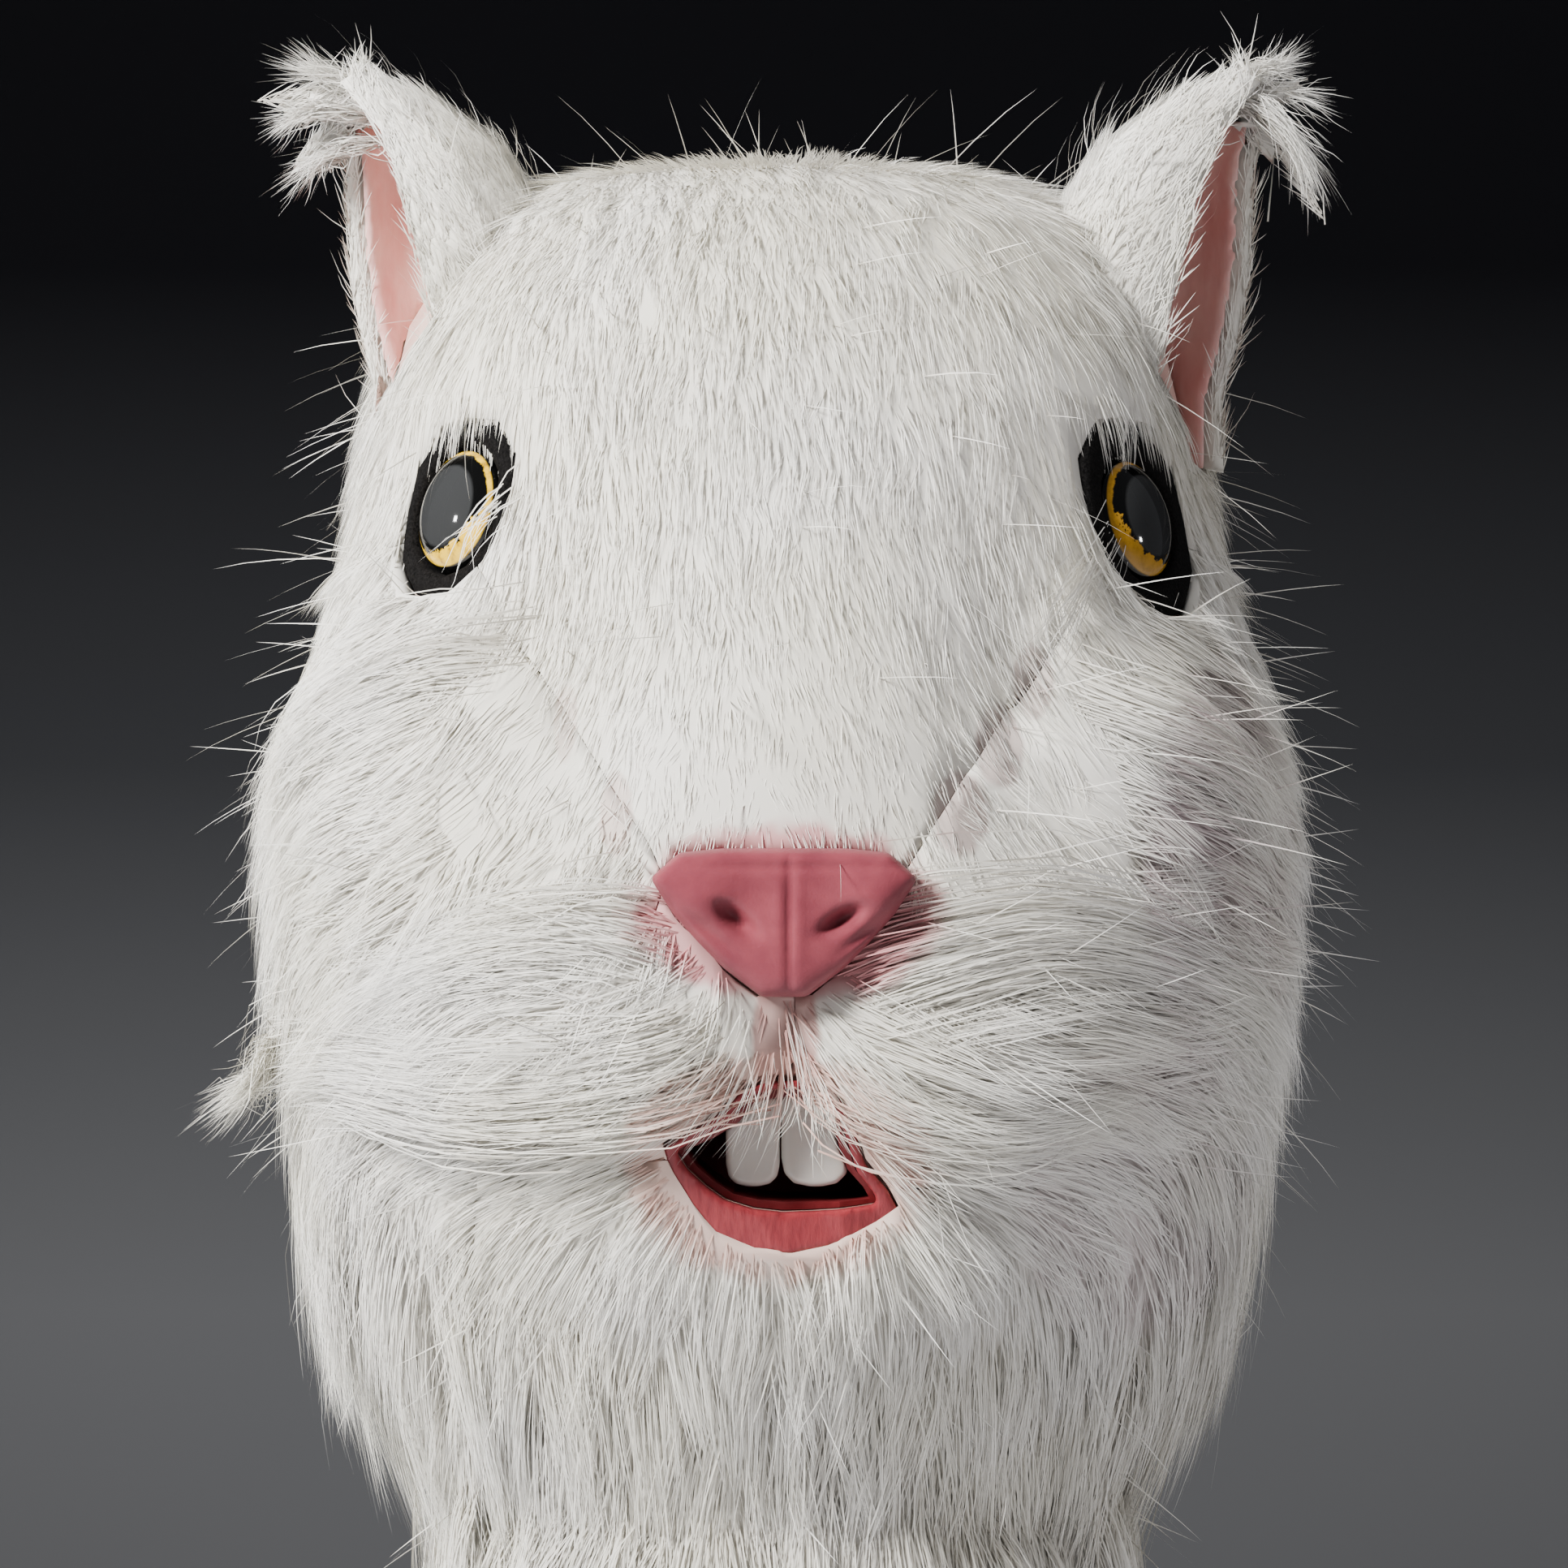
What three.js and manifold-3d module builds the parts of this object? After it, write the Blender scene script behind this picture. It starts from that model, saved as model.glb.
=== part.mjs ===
// A furred squirrel hood mask: a hollow latex head that covers the wearer's whole head,
// with cupped ears, domed eyes, a nose, a mouth with two incisors, and fur glued on in panels.
// Millimetres, +Z up, the face looks along -Y, the origin is where the wearer's crown meets the hood.
import * as THREE from "three";
import { mergeVertices } from "three/addons/utils/BufferGeometryUtils.js";
import Module from "manifold-3d";

const wasm = await Module();
wasm.setup();

// Driving dimensions of the latex hood
const hoodHeight = 345;
const hoodWidth = 258;
const muzzleReach = 167;
const backReach = 120;
const latexWall = 2.5;
const clearance = 0.3;

// Driving dimensions of the face
const eyeSpacing = 0.647 * hoodWidth;
const eyeDrop = 0.279 * hoodHeight;
const eyeDiameter = 33;
const eyeBulge = 8;
const rimHeight = 50;
const rimWidth = 46;
const rimThickness = 3.6;
const socketDepth = 8;
const noseWidth = 60;
const noseHeight = 34;
const noseDrop = 0.516 * hoodHeight;
const noseProud = 12;
const noseThickness = 24;
const nostrilLength = 11;
const nostrilSpacing = 0.43 * noseWidth;
const nostrilLean = THREE.MathUtils.degToRad(58);
const grooveWidth = 1.6;
const mouthWidth = 59;
const mouthHeight = 42;
const mouthDrop = 0.670 * hoodHeight;
const mouthDepth = 30;
const liningWall = 2;
const lipThickness = 5;
const toothHeight = 23;
const leftToothWidth = 13;
const rightToothWidth = 16.5;
const toothThickness = 6;

// Driving dimensions of the ears and the fur
const earSpacing = 0.686 * hoodWidth;
const earDrop = 0.145 * hoodHeight;
const earForward = 0.168 * muzzleReach;
const earLength = 82;
const earRadius = 26;
const earWall = 2.5;
const earPile = 5;
const pile = 10;
const lockWidth = 26;
const lockThickness = 9;
const ruffLength = 92;
const tuftLength = 30;

// The hood's level sections from the crown to the neck rim: how far down, half the width,
// and the reach to the front and to the back, as shares of the hood's own sizes
const sections = [
  { down: 0.000, wide: 0.00, front: 0.00, back: 0.00 },
  { down: 0.005, wide: 0.36, front: 0.20, back: 0.38 },
  { down: 0.022, wide: 0.58, front: 0.35, back: 0.60 },
  { down: 0.062, wide: 0.73, front: 0.50, back: 0.78 },
  { down: 0.130, wide: 0.82, front: 0.62, back: 0.91 },
  { down: 0.215, wide: 0.86, front: 0.71, back: 0.98 },
  { down: 0.300, wide: 0.89, front: 0.80, back: 1.00 },
  { down: 0.385, wide: 0.94, front: 0.88, back: 1.00 },
  { down: 0.465, wide: 0.99, front: 0.95, back: 0.97 },
  { down: 0.545, wide: 1.00, front: 1.00, back: 0.93 },
  { down: 0.625, wide: 0.98, front: 0.99, back: 0.88 },
  { down: 0.705, wide: 0.95, front: 0.95, back: 0.83 },
  { down: 0.785, wide: 0.92, front: 0.91, back: 0.79 },
  { down: 0.860, wide: 0.85, front: 0.82, back: 0.76 },
  { down: 0.930, wide: 0.76, front: 0.70, back: 0.74 },
  { down: 1.000, wide: 0.68, front: 0.62, back: 0.73 },
];

// What is sculpted onto the face: the centre and the spread across as shares of half the hood's
// width, down as shares of its height, and the push as a share of the muzzle's reach
const forms = [
  { name: "bridge", across: 0.00, down: 0.42, wide: 0.26, tall: 0.14, push: 0.040 },
  { name: "left brow", across: -0.50, down: 0.20, wide: 0.24, tall: 0.06, push: 0.030 },
  { name: "right brow", across: 0.52, down: 0.20, wide: 0.24, tall: 0.06, push: 0.030 },
  { name: "left crease", across: -0.40, down: 0.43, wide: 0.10, tall: 0.09, push: -0.050 },
  { name: "right crease", across: 0.42, down: 0.43, wide: 0.10, tall: 0.09, push: -0.055 },
  { name: "left cheek", across: -0.66, down: 0.47, wide: 0.24, tall: 0.12, push: 0.065 },
  { name: "right cheek", across: 0.68, down: 0.47, wide: 0.24, tall: 0.12, push: 0.060 },
  { name: "left pad", across: -0.33, down: 0.645, wide: 0.26, tall: 0.07, push: 0.075 },
  { name: "right pad", across: 0.35, down: 0.645, wide: 0.28, tall: 0.07, push: 0.080 },
  { name: "philtrum", across: 0.01, down: 0.655, wide: 0.06, tall: 0.06, push: -0.035 },
  { name: "chin", across: 0.00, down: 0.82, wide: 0.30, tall: 0.05, push: 0.030 },
];

// Where the pile is longer or shorter than its usual length, as shares of the pile
const pileForms = [
  { name: "bridge", across: 0.00, down: 0.48, wide: 0.26, tall: 0.12, push: -0.75 },
  { name: "left cheek", across: -0.85, down: 0.52, wide: 0.35, tall: 0.16, push: 0.70 },
  { name: "right cheek", across: 0.85, down: 0.52, wide: 0.35, tall: 0.16, push: 0.45 },
  { name: "left pad", across: -0.45, down: 0.62, wide: 0.30, tall: 0.08, push: 0.35 },
  { name: "right pad", across: 0.50, down: 0.62, wide: 0.34, tall: 0.08, push: 0.45 },
  { name: "left jaw", across: -0.90, down: 0.85, wide: 0.40, tall: 0.14, push: 0.90 },
  { name: "right jaw", across: 0.90, down: 0.85, wide: 0.40, tall: 0.14, push: 0.60 },
];

const faceFade = [0, 0.45];
const pileFade = [-0.6, 0];

// One column of the sections, read smoothly between its rows. The crown closes as a round dome,
// and below the rim the hood's last section runs on straight down.
function section(column, place) {
  const last = sections.length - 1;
  if (place > last) {
    const slope = column === "down" ? sections[last].down - sections[last - 1].down : 0;
    return sections[last][column] + slope * (place - last);
  }
  const mirror = column === "down" ? 1 : -1;
  const at = (row) => (row < 0 ? mirror * sections[-row][column] : sections[Math.min(row, last)][column]);
  const row = Math.min(Math.floor(place), last - 1);
  const t = place - row;
  const [a, b, c, d] = [at(row - 1), at(row), at(row + 1), at(row + 2)];
  const curve = 2 * a - 5 * b + 4 * c - d;
  return 0.5 * (2 * b + (c - a) * t + curve * t * t + (3 * b - a - 3 * c + d) * t * t * t);
}

// The sum of the bumps of a table at a point of the face; they fade out between two cosines of
// the turn, so that none of them reaches round to the back of the head
function bumps(table, x, z, turn, fade) {
  const facing = THREE.MathUtils.smoothstep(Math.cos(turn), ...fade);
  let sum = 0;
  for (const form of table) {
    const across = (x / (hoodWidth / 2) - form.across) / form.wide;
    const down = (-z / hoodHeight - form.down) / form.tall;
    sum += form.push * Math.exp(-across * across - down * down);
  }
  return sum * facing;
}

// The latex's outer surface. The turn is 0 at the front and grows towards +X; the place counts
// the rows of the sections from the crown down.
function bareSkin(turn, place) {
  const wide = section("wide", place) * hoodWidth / 2;
  const front = Math.cos(turn) > 0;
  const reach = front ? section("front", place) * muzzleReach : section("back", place) * backReach;
  const z = latexWall - section("down", place) * hoodHeight;
  const point = new THREE.Vector3(Math.sin(turn) * wide, -Math.cos(turn) * reach, z);
  const out = new THREE.Vector3(Math.sin(turn) * reach, -Math.cos(turn) * wide, 0).normalize();
  return point.addScaledVector(out, bumps(forms, point.x, z, turn, faceFade) * muzzleReach);
}

function skinNormal(turn, place) {
  const step = 0.02;
  const around = bareSkin(turn + step, place).sub(bareSkin(turn - step, place));
  const along = bareSkin(turn, place + step).sub(bareSkin(turn, place - step));
  const normal = around.cross(along).negate();
  return normal.length() < 1e-6 ? new THREE.Vector3(0, 0, 1) : normal.normalize();
}

function skin(turn, place, lift) {
  return bareSkin(turn, place).addScaledVector(skinNormal(turn, place), lift);
}

function pileDepth(turn, place) {
  const point = bareSkin(turn, place);
  return pile * (1 + bumps(pileForms, point.x, point.z, turn, pileFade));
}

// The place on the sections at a share of the hood's height, and the turn at a share of its width
function placeAt(down) {
  let [low, high] = [0, (sections.length - 1) * 1.5];
  while (high - low > 1e-4) {
    const middle = (low + high) / 2;
    if (section("down", middle) < down) low = middle;
    else high = middle;
  }
  return low;
}

function turnAt(x, place) {
  const wide = section("wide", place) * hoodWidth / 2;
  return Math.asin(THREE.MathUtils.clamp(x / wide, -1, 1));
}

// Booleans on closed geometries
function solid(geometry) {
  const bare = geometry.clone();
  bare.deleteAttribute("normal");
  bare.deleteAttribute("uv");
  const merged = mergeVertices(bare, 1e-4);
  const vertProperties = new Float32Array(merged.attributes.position.array);
  const triVerts = new Uint32Array(merged.index.array);
  return new wasm.Manifold(new wasm.Mesh({ numProp: 3, vertProperties, triVerts }));
}

function largest(body) {
  const parts = body.decompose();
  return parts.reduce((best, part) => (part.volume() > best.volume() ? part : best));
}

function geometryOf(body) {
  const mesh = body.getMesh();
  const geometry = new THREE.BufferGeometry();
  geometry.setAttribute("position", new THREE.BufferAttribute(new Float32Array(mesh.vertProperties), 3));
  geometry.setIndex(new THREE.BufferAttribute(new Uint32Array(mesh.triVerts), 1));
  return geometry;
}

// A body from points and triangles that close it, turned right side out where they face inwards
function closedBody(points, faces) {
  const geometry = new THREE.BufferGeometry().setFromPoints(points);
  geometry.setIndex(faces);
  const body = solid(geometry);
  if (body.volume() >= 0) return body;
  const index = geometry.index.array;
  for (let at = 0; at < index.length; at += 3) {
    [index[at + 1], index[at + 2]] = [index[at + 2], index[at + 1]];
  }
  return solid(geometry);
}

// A closed body from rings of points, each ring a loop of as many points, with both ends filled
function loft(rings) {
  const count = rings[0].length;
  const points = rings.flat();
  const faces = [];
  for (let ring = 0; ring + 1 < rings.length; ring += 1) {
    for (let side = 0; side < count; side += 1) {
      const next = (side + 1) % count;
      const [a, b] = [ring * count + side, ring * count + next];
      faces.push(a, b, b + count, a, b + count, a + count);
    }
  }
  for (const [ring, turned] of [[0, true], [rings.length - 1, false]]) {
    const centre = points.length;
    const middle = new THREE.Vector3();
    rings[ring].forEach((point) => middle.add(point));
    points.push(middle.divideScalar(count));
    for (let side = 0; side < count; side += 1) {
      const [a, b] = [ring * count + side, ring * count + ((side + 1) % count)];
      if (turned) faces.push(centre, b, a);
      else faces.push(centre, a, b);
    }
  }
  return closedBody(points, faces);
}

// The head's rings: the columns stand closer together on the face than at the back
const headColumns = 28;
const headRows = 16;
const frontShare = 0.48;
const pole = 0.02;

function headTurn(column) {
  const s = (2 * column) / headColumns - 1;
  return Math.PI * (frontShare * s + (1 - frontShare) * s ** 3);
}

// The head filled solid, with its surface lifted off the latex, and run on past the neck rim
function headBlank(lift, overrun) {
  const last = sections.length - 1;
  const places = Array.from({ length: headRows + 1 }, (_, row) => pole + ((last - pole) * row) / headRows);
  if (overrun > 0) places.push(last + overrun);
  const rings = [];
  for (const place of places) {
    const ring = [];
    for (let column = 0; column < headColumns; column += 1) {
      const turn = headTurn(column);
      ring.push(skin(turn, place, lift(turn, place)));
    }
    rings.push(ring);
  }
  return loft(rings);
}

// How many rows of the sections the fur hangs past the rim, and how many the cutters run past it
const furPastRim = 1.1;
const cutPastRim = 1.6;
const head = headBlank(() => 0, 0);
const cavity = headBlank(() => -latexWall, cutPastRim);
const keepOut = headBlank(() => clearance, cutPastRim);

// A frame on the face: its origin on the latex, its z axis straight out
function seatOnFace(x, down, sink) {
  const place = placeAt(down / hoodHeight);
  const turn = turnAt(x, place);
  const out = skinNormal(turn, place);
  const origin = skin(turn, place, -sink);
  const side = new THREE.Vector3(0, 0, 1).cross(out).normalize();
  const up = out.clone().cross(side);
  return new THREE.Matrix4().makeBasis(side, up, out).setPosition(origin);
}

// Eyes: a domed eye stands in a black almond rim, both in a round socket pressed into the latex
const almondPoints = 12;

function almond(width, height) {
  const outline = [];
  for (let point = 0; point < almondPoints; point += 1) {
    const angle = (2 * Math.PI * point) / almondPoints;
    const pinch = 1 - 0.06 * Math.cos(4 * angle);
    const [across, up] = [Math.cos(angle) * pinch, Math.sin(angle) * pinch];
    outline.push(new THREE.Vector2((across * width) / 2, (up * height) / 2));
  }
  return outline;
}

// A prism on an outline, from one height to another
function prism(outline, low, high) {
  const settings = { depth: high - low, bevelEnabled: false };
  return solid(new THREE.ExtrudeGeometry(new THREE.Shape(outline), settings).translate(0, 0, low));
}

function placed(body, matrix) {
  return body.transform(matrix.elements);
}

const socketReach = 30;
const eyeRadius = eyeDiameter / 2;

// The sculptor's two eyes differ: each one's distance out and its rim's size, as shares
const eyeForms = {
  left: { side: -1, out: 0.955, down: 0.98, rim: 1.00 },
  right: { side: 1, out: 1.045, down: 1.00, rim: 1.12 },
};
const domeSteps = 4;
const rimBevel = 1.2;
const rimBore = (eyeRadius + clearance) / Math.cos(Math.PI / almondPoints);

function eyeParts(form) {
  const seat = seatOnFace((form.side * form.out * eyeSpacing) / 2, form.down * eyeDrop, socketDepth);
  const [wide, tall] = [form.rim * rimWidth, form.rim * rimHeight];
  const slack = 2 * clearance;
  const hole = prism(almond(wide + slack, tall + slack), 0, socketReach);
  const wall = 2 * latexWall;
  const cup = prism(almond(wide + slack + wall, tall + slack + wall), -latexWall, socketReach);
  const rimShape = new THREE.Shape(almond(wide - 2 * rimBevel, tall - 2 * rimBevel));
  rimShape.holes.push(new THREE.Path().absarc(0, 0, rimBore + rimBevel, 0, 2 * Math.PI));
  const rimTop = socketDepth + rimThickness;
  const rim = solid(new THREE.ExtrudeGeometry(rimShape, {
    depth: rimTop - clearance - 2 * rimBevel,
    bevelSize: rimBevel,
    bevelThickness: rimBevel,
    bevelSegments: 1,
    curveSegments: almondPoints / 2,
  }).translate(0, 0, clearance + rimBevel));
  const dome = [new THREE.Vector2(0, clearance), new THREE.Vector2(eyeRadius, clearance)];
  for (let step = 0; step <= domeSteps; step += 1) {
    const angle = (Math.PI / 2) * (step / domeSteps);
    const radius = step === domeSteps ? 0 : eyeRadius * Math.cos(angle);
    dome.push(new THREE.Vector2(radius, socketDepth + eyeBulge * Math.sin(angle)));
  }
  const eye = solid(new THREE.LatheGeometry(dome, almondPoints).rotateX(Math.PI / 2));
  return {
    hole: placed(hole, seat),
    cup: placed(cup, seat),
    rim: placed(rim, seat),
    eye: placed(eye, seat),
  };
}

const leftEye = eyeParts(eyeForms.left);
const rightEye = eyeParts(eyeForms.right);

// A smooth closed outline through the points of a table of shares, seen from the front, with so
// many points for each row of the table
const curvePoints = 1.5;

function outlineOf(table, width, height, grow) {
  const centre = new THREE.Vector2();
  const points = table.map(([across, down]) => new THREE.Vector2((across * width) / 2, -down * height));
  points.forEach((point) => centre.add(point));
  centre.divideScalar(points.length);
  const grown = points.map((point) => {
    const away = point.clone().sub(centre).normalize();
    return new THREE.Vector3(point.x + away.x * grow, point.y + away.y * grow, 0);
  });
  const smooth = new THREE.CatmullRomCurve3(grown, true).getPoints(Math.round(curvePoints * grown.length));
  return smooth.slice(0, -1).map((point) => new THREE.Vector2(point.x, point.y));
}

// A plate that stands on the face: its outline is seen from the front, and it runs from a depth
// behind the face to one before it
function facePlate(outline, drop, back, front) {
  const body = prism(outline, back, front).rotate([90, 0, 0]);
  return body.translate([0, 0, -drop]);
}

// Nose: a pad with a straight top and a rounded point below, two nostrils and a middle groove
const noseOutline = [
  [0, 0.00], [0.80, 0.01], [1.00, 0.14], [0.80, 0.42], [0.48, 0.76], [0, 1.00],
  [-0.48, 0.76], [-0.80, 0.42], [-1.00, 0.14], [-0.80, 0.01],
];
const noseBevel = 4;
const noseSeat = -skin(0, placeAt((noseDrop + noseHeight / 2) / hoodHeight), 0).y;
const noseFront = noseSeat + noseProud;
const noseBack = noseFront - noseThickness;

function nosePad(grow) {
  const flat = outlineOf(noseOutline, noseWidth, noseHeight, grow - noseBevel);
  const geometry = new THREE.ExtrudeGeometry(new THREE.Shape(flat), {
    depth: noseFront - noseBack - noseBevel,
    bevelSize: noseBevel,
    bevelThickness: noseBevel,
    bevelSegments: 2,
  });
  return solid(geometry.rotateX(Math.PI / 2).translate(0, -noseBack, -noseDrop));
}

function nostril(side) {
  const slot = new THREE.CapsuleGeometry(nostrilLength * 0.2, nostrilLength * 0.6, 2, 8);
  slot.rotateZ(-side * nostrilLean);
  slot.translate(side * nostrilSpacing / 2, -noseFront, -noseDrop - noseHeight * 0.45);
  return solid(slot);
}

const groove = solid(new THREE.CylinderGeometry(grooveWidth / 2, grooveWidth / 2, noseHeight * 0.8, 6)
  .translate(0, -noseFront, -noseDrop - noseHeight * 0.55));
const nose = nosePad(0).subtract(nostril(-1)).subtract(nostril(1)).subtract(groove).subtract(keepOut);
const noseHole = nosePad(2 * clearance);

// Mouth: a skewed opening with a full lower lip, a lined pocket behind it, and two incisors
const lipOutline = [
  [-1.00, 0.40], [-0.52, 0.21], [-0.32, 0.04], [0.03, 0.00], [0.40, 0.04], [0.56, 0.28], [0.68, 0.52],
  [0.94, 0.74], [0.72, 0.86], [0.40, 0.95], [-0.04, 1.00], [-0.54, 0.90], [-0.82, 0.66],
];
const openingOutline = [
  [-0.88, 0.41], [-0.48, 0.26], [-0.29, 0.09], [0.03, 0.05], [0.36, 0.09], [0.50, 0.33], [0.61, 0.56],
  [0.78, 0.71], [0.56, 0.74], [0.26, 0.76], [-0.10, 0.76], [-0.46, 0.70], [-0.70, 0.57],
];
const farOut = muzzleReach + 60;
const mouthFloor = muzzleReach * 0.95 - mouthDepth;

function mouthPrism(table, grow, back) {
  return facePlate(outlineOf(table, mouthWidth, mouthHeight, grow), mouthDrop, back, farOut);
}

function faceSolid(lift) {
  return headBlank(() => lift, cutPastRim);
}

const mouthHole = mouthPrism(openingOutline, 0, mouthFloor);
const mouthCup = mouthPrism(openingOutline, latexWall, mouthFloor - latexWall);
const liningInset = clearance + liningWall;
const liningOutside = mouthPrism(openingOutline, -clearance, mouthFloor + clearance);
const liningInside = mouthPrism(openingOutline, -liningInset, mouthFloor + liningInset);
const mouthLining = liningOutside.subtract(liningInside).intersect(head);
const lipRing = mouthPrism(lipOutline, 0, mouthFloor).subtract(mouthPrism(openingOutline, 0, 0));
const lips = largest(lipRing.intersect(faceSolid(lipThickness)).subtract(keepOut));
const lipsHole = mouthPrism(lipOutline, 2 * clearance, mouthFloor);

const toothSpace = mouthPrism(openingOutline, -clearance - liningInset, 0);
const toothFront = muzzleReach * 0.9;
const toothSeam = -0.028;
const toothTuck = 3.5;

function tooth(side, width) {
  const radius = width * 0.42;
  const shape = new THREE.Shape();
  shape.moveTo(-width / 2, 0);
  shape.lineTo(-width / 2, -toothHeight + radius);
  shape.quadraticCurveTo(-width / 2, -toothHeight, -width / 2 + radius, -toothHeight);
  shape.lineTo(width / 2 - radius, -toothHeight);
  shape.quadraticCurveTo(width / 2, -toothHeight, width / 2, -toothHeight + radius);
  shape.lineTo(width / 2, 0);
  const round = 1;
  const geometry = new THREE.ExtrudeGeometry(shape, {
    depth: toothThickness - 2 * round,
    bevelSize: round,
    bevelOffset: -round,
    bevelThickness: round,
    bevelSegments: 1,
    curveSegments: 3,
  });
  const seam = (toothSeam * mouthWidth) / 2;
  geometry.rotateX(Math.PI / 2);
  const middle = seam + (side * (width + clearance)) / 2;
  geometry.translate(middle, round - toothFront, -toothTuck - mouthDrop);
  return solid(geometry).intersect(toothSpace);
}

const leftTooth = tooth(-1, leftToothWidth);
const rightTooth = tooth(1, rightToothWidth);

// Ears: each is a scoop of latex, rolled round and open outwards, on a curved middle line
const earSteps = 5;
const earSides = 7;
const earOpening = THREE.MathUtils.degToRad(128);
const earFacing = THREE.MathUtils.degToRad(26);
const earFold = 0.35;

// Each ear's distance out, as a share of half the ears' spacing
const earForms = { left: { side: -1, out: 0.95 }, right: { side: 1, out: 1.05 } };

// How the scoop's radius changes from its base to its tip, as shares of the ear's radius
const earRadii = [1.00, 1.04, 0.98, 0.78, 0.42, 0.06];

function earLine({ side, out: share }) {
  const base = new THREE.Vector3((side * share * earSpacing) / 2, -earForward, -earDrop);
  const along = (out, up, back) => base.clone().add(
    new THREE.Vector3(side * out, -back, up).multiplyScalar(earLength));
  return new THREE.CatmullRomCurve3([
    base, along(0.08, 0.36, 0.0), along(0.20, 0.68, 0.02), along(0.43, 0.95, 0.04),
  ]);
}

// The ear's rings: the wall's outer and inner faces as one loop each, or a filled blank
function earRings(form, inner, outer, filled, opening = earOpening) {
  const line = earLine(form);
  const mouth = new THREE.Vector3(form.side * Math.cos(earFacing), -Math.sin(earFacing), 0);
  const rings = [];
  for (let step = 0; step <= earSteps; step += 1) {
    const t = step / earSteps;
    const centre = line.getPoint(t);
    const axis = line.getTangent(t);
    const out = mouth.clone().addScaledVector(axis, -mouth.dot(axis)).normalize();
    const across = axis.clone().cross(out);
    const scale = earRadii[step] * earRadius;
    const at = (angle, radius) => centre.clone()
      .addScaledVector(out, -Math.cos(angle) * radius)
      .addScaledVector(across, Math.sin(angle) * radius);
    const ring = [];
    const angles = Array.from({ length: earSides + 1 }, (_, k) => opening * ((2 * k) / earSides - 1));
    for (const angle of angles) ring.push(at(angle, scale + outer));
    if (filled) {
      const gap = (2 * (Math.PI - opening)) / 3;
      ring.push(at(opening + gap, scale + outer), at(opening + 2 * gap, scale + outer));
    } else {
      const least = earFold * scale + Math.min(0, inner + earWall);
      for (const angle of angles.reverse()) ring.push(at(angle, Math.max(scale + inner, least)));
    }
    rings.push(ring);
  }
  return rings;
}

// A sunk foot keeps each ear's lower end inside the head, where the head then trims it
function withFoot(rings) {
  const foot = rings[0].map((point) => point.clone().add(new THREE.Vector3(0, 0, -0.25 * earLength)));
  return [foot, ...rings];
}

// A loft whose rings are folded back on themselves: both faces of its wall are split along the
// same diagonals, and its two ends are filled across the wall
function scoop(rings) {
  const count = rings[0].length;
  const points = rings.flat();
  const faces = [];
  const half = count / 2;
  for (let ring = 0; ring + 1 < rings.length; ring += 1) {
    for (let side = 0; side < count; side += 1) {
      const next = (side + 1) % count;
      const [a, b] = [ring * count + side, ring * count + next];
      if (side < half) faces.push(a, b, b + count, a, b + count, a + count);
      else faces.push(a, b, a + count, b, b + count, a + count);
    }
  }
  for (const [ring, turned] of [[0, true], [rings.length - 1, false]]) {
    for (let k = 0; k + 1 < half; k += 1) {
      const [a, b] = [ring * count + k, ring * count + k + 1];
      const [c, d] = [ring * count + count - 2 - k, ring * count + count - 1 - k];
      const quad = turned ? [a, c, b, a, d, c] : [a, b, c, a, c, d];
      faces.push(...quad);
    }
  }
  return closedBody(points, faces);
}

function earParts(form) {
  const shell = scoop(withFoot(earRings(form, -earWall, 0, false))).subtract(keepOut);
  const furInner = 3 * clearance;
  const furOuter = furInner + earPile;
  const coat = scoop(withFoot(earRings(form, furInner, furOuter, false))).subtract(keepOut);
  const blank = loft(withFoot(earRings(form, 0, furOuter + 2 * clearance, true)));
  const keep = scoop(withFoot(earRings(form, -earWall - clearance, clearance, false, 1.08 * earOpening)));
  return { shell: largest(shell), coat: largest(coat), blank, keep };
}

const leftEar = earParts(earForms.left);
const rightEar = earParts(earForms.right);

// Hood: the latex wall with its pressed sockets and mouth pocket
let hood = head.subtract(cavity);
for (const cup of [leftEye.cup, rightEye.cup, mouthCup]) hood = hood.add(cup.intersect(head));
for (const hole of [leftEye.hole, rightEye.hole, mouthHole]) hood = hood.subtract(hole);
hood = largest(hood);

// Fur: the whole coat as one layer, then cut along its seams into panels
const faceHoles = [leftEye.hole, rightEye.hole, noseHole, lipsHole];
let coat = headBlank(pileDepth, furPastRim).subtract(keepOut);
for (const hole of [...faceHoles, leftEar.blank, rightEar.blank]) coat = coat.subtract(hole);

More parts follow.
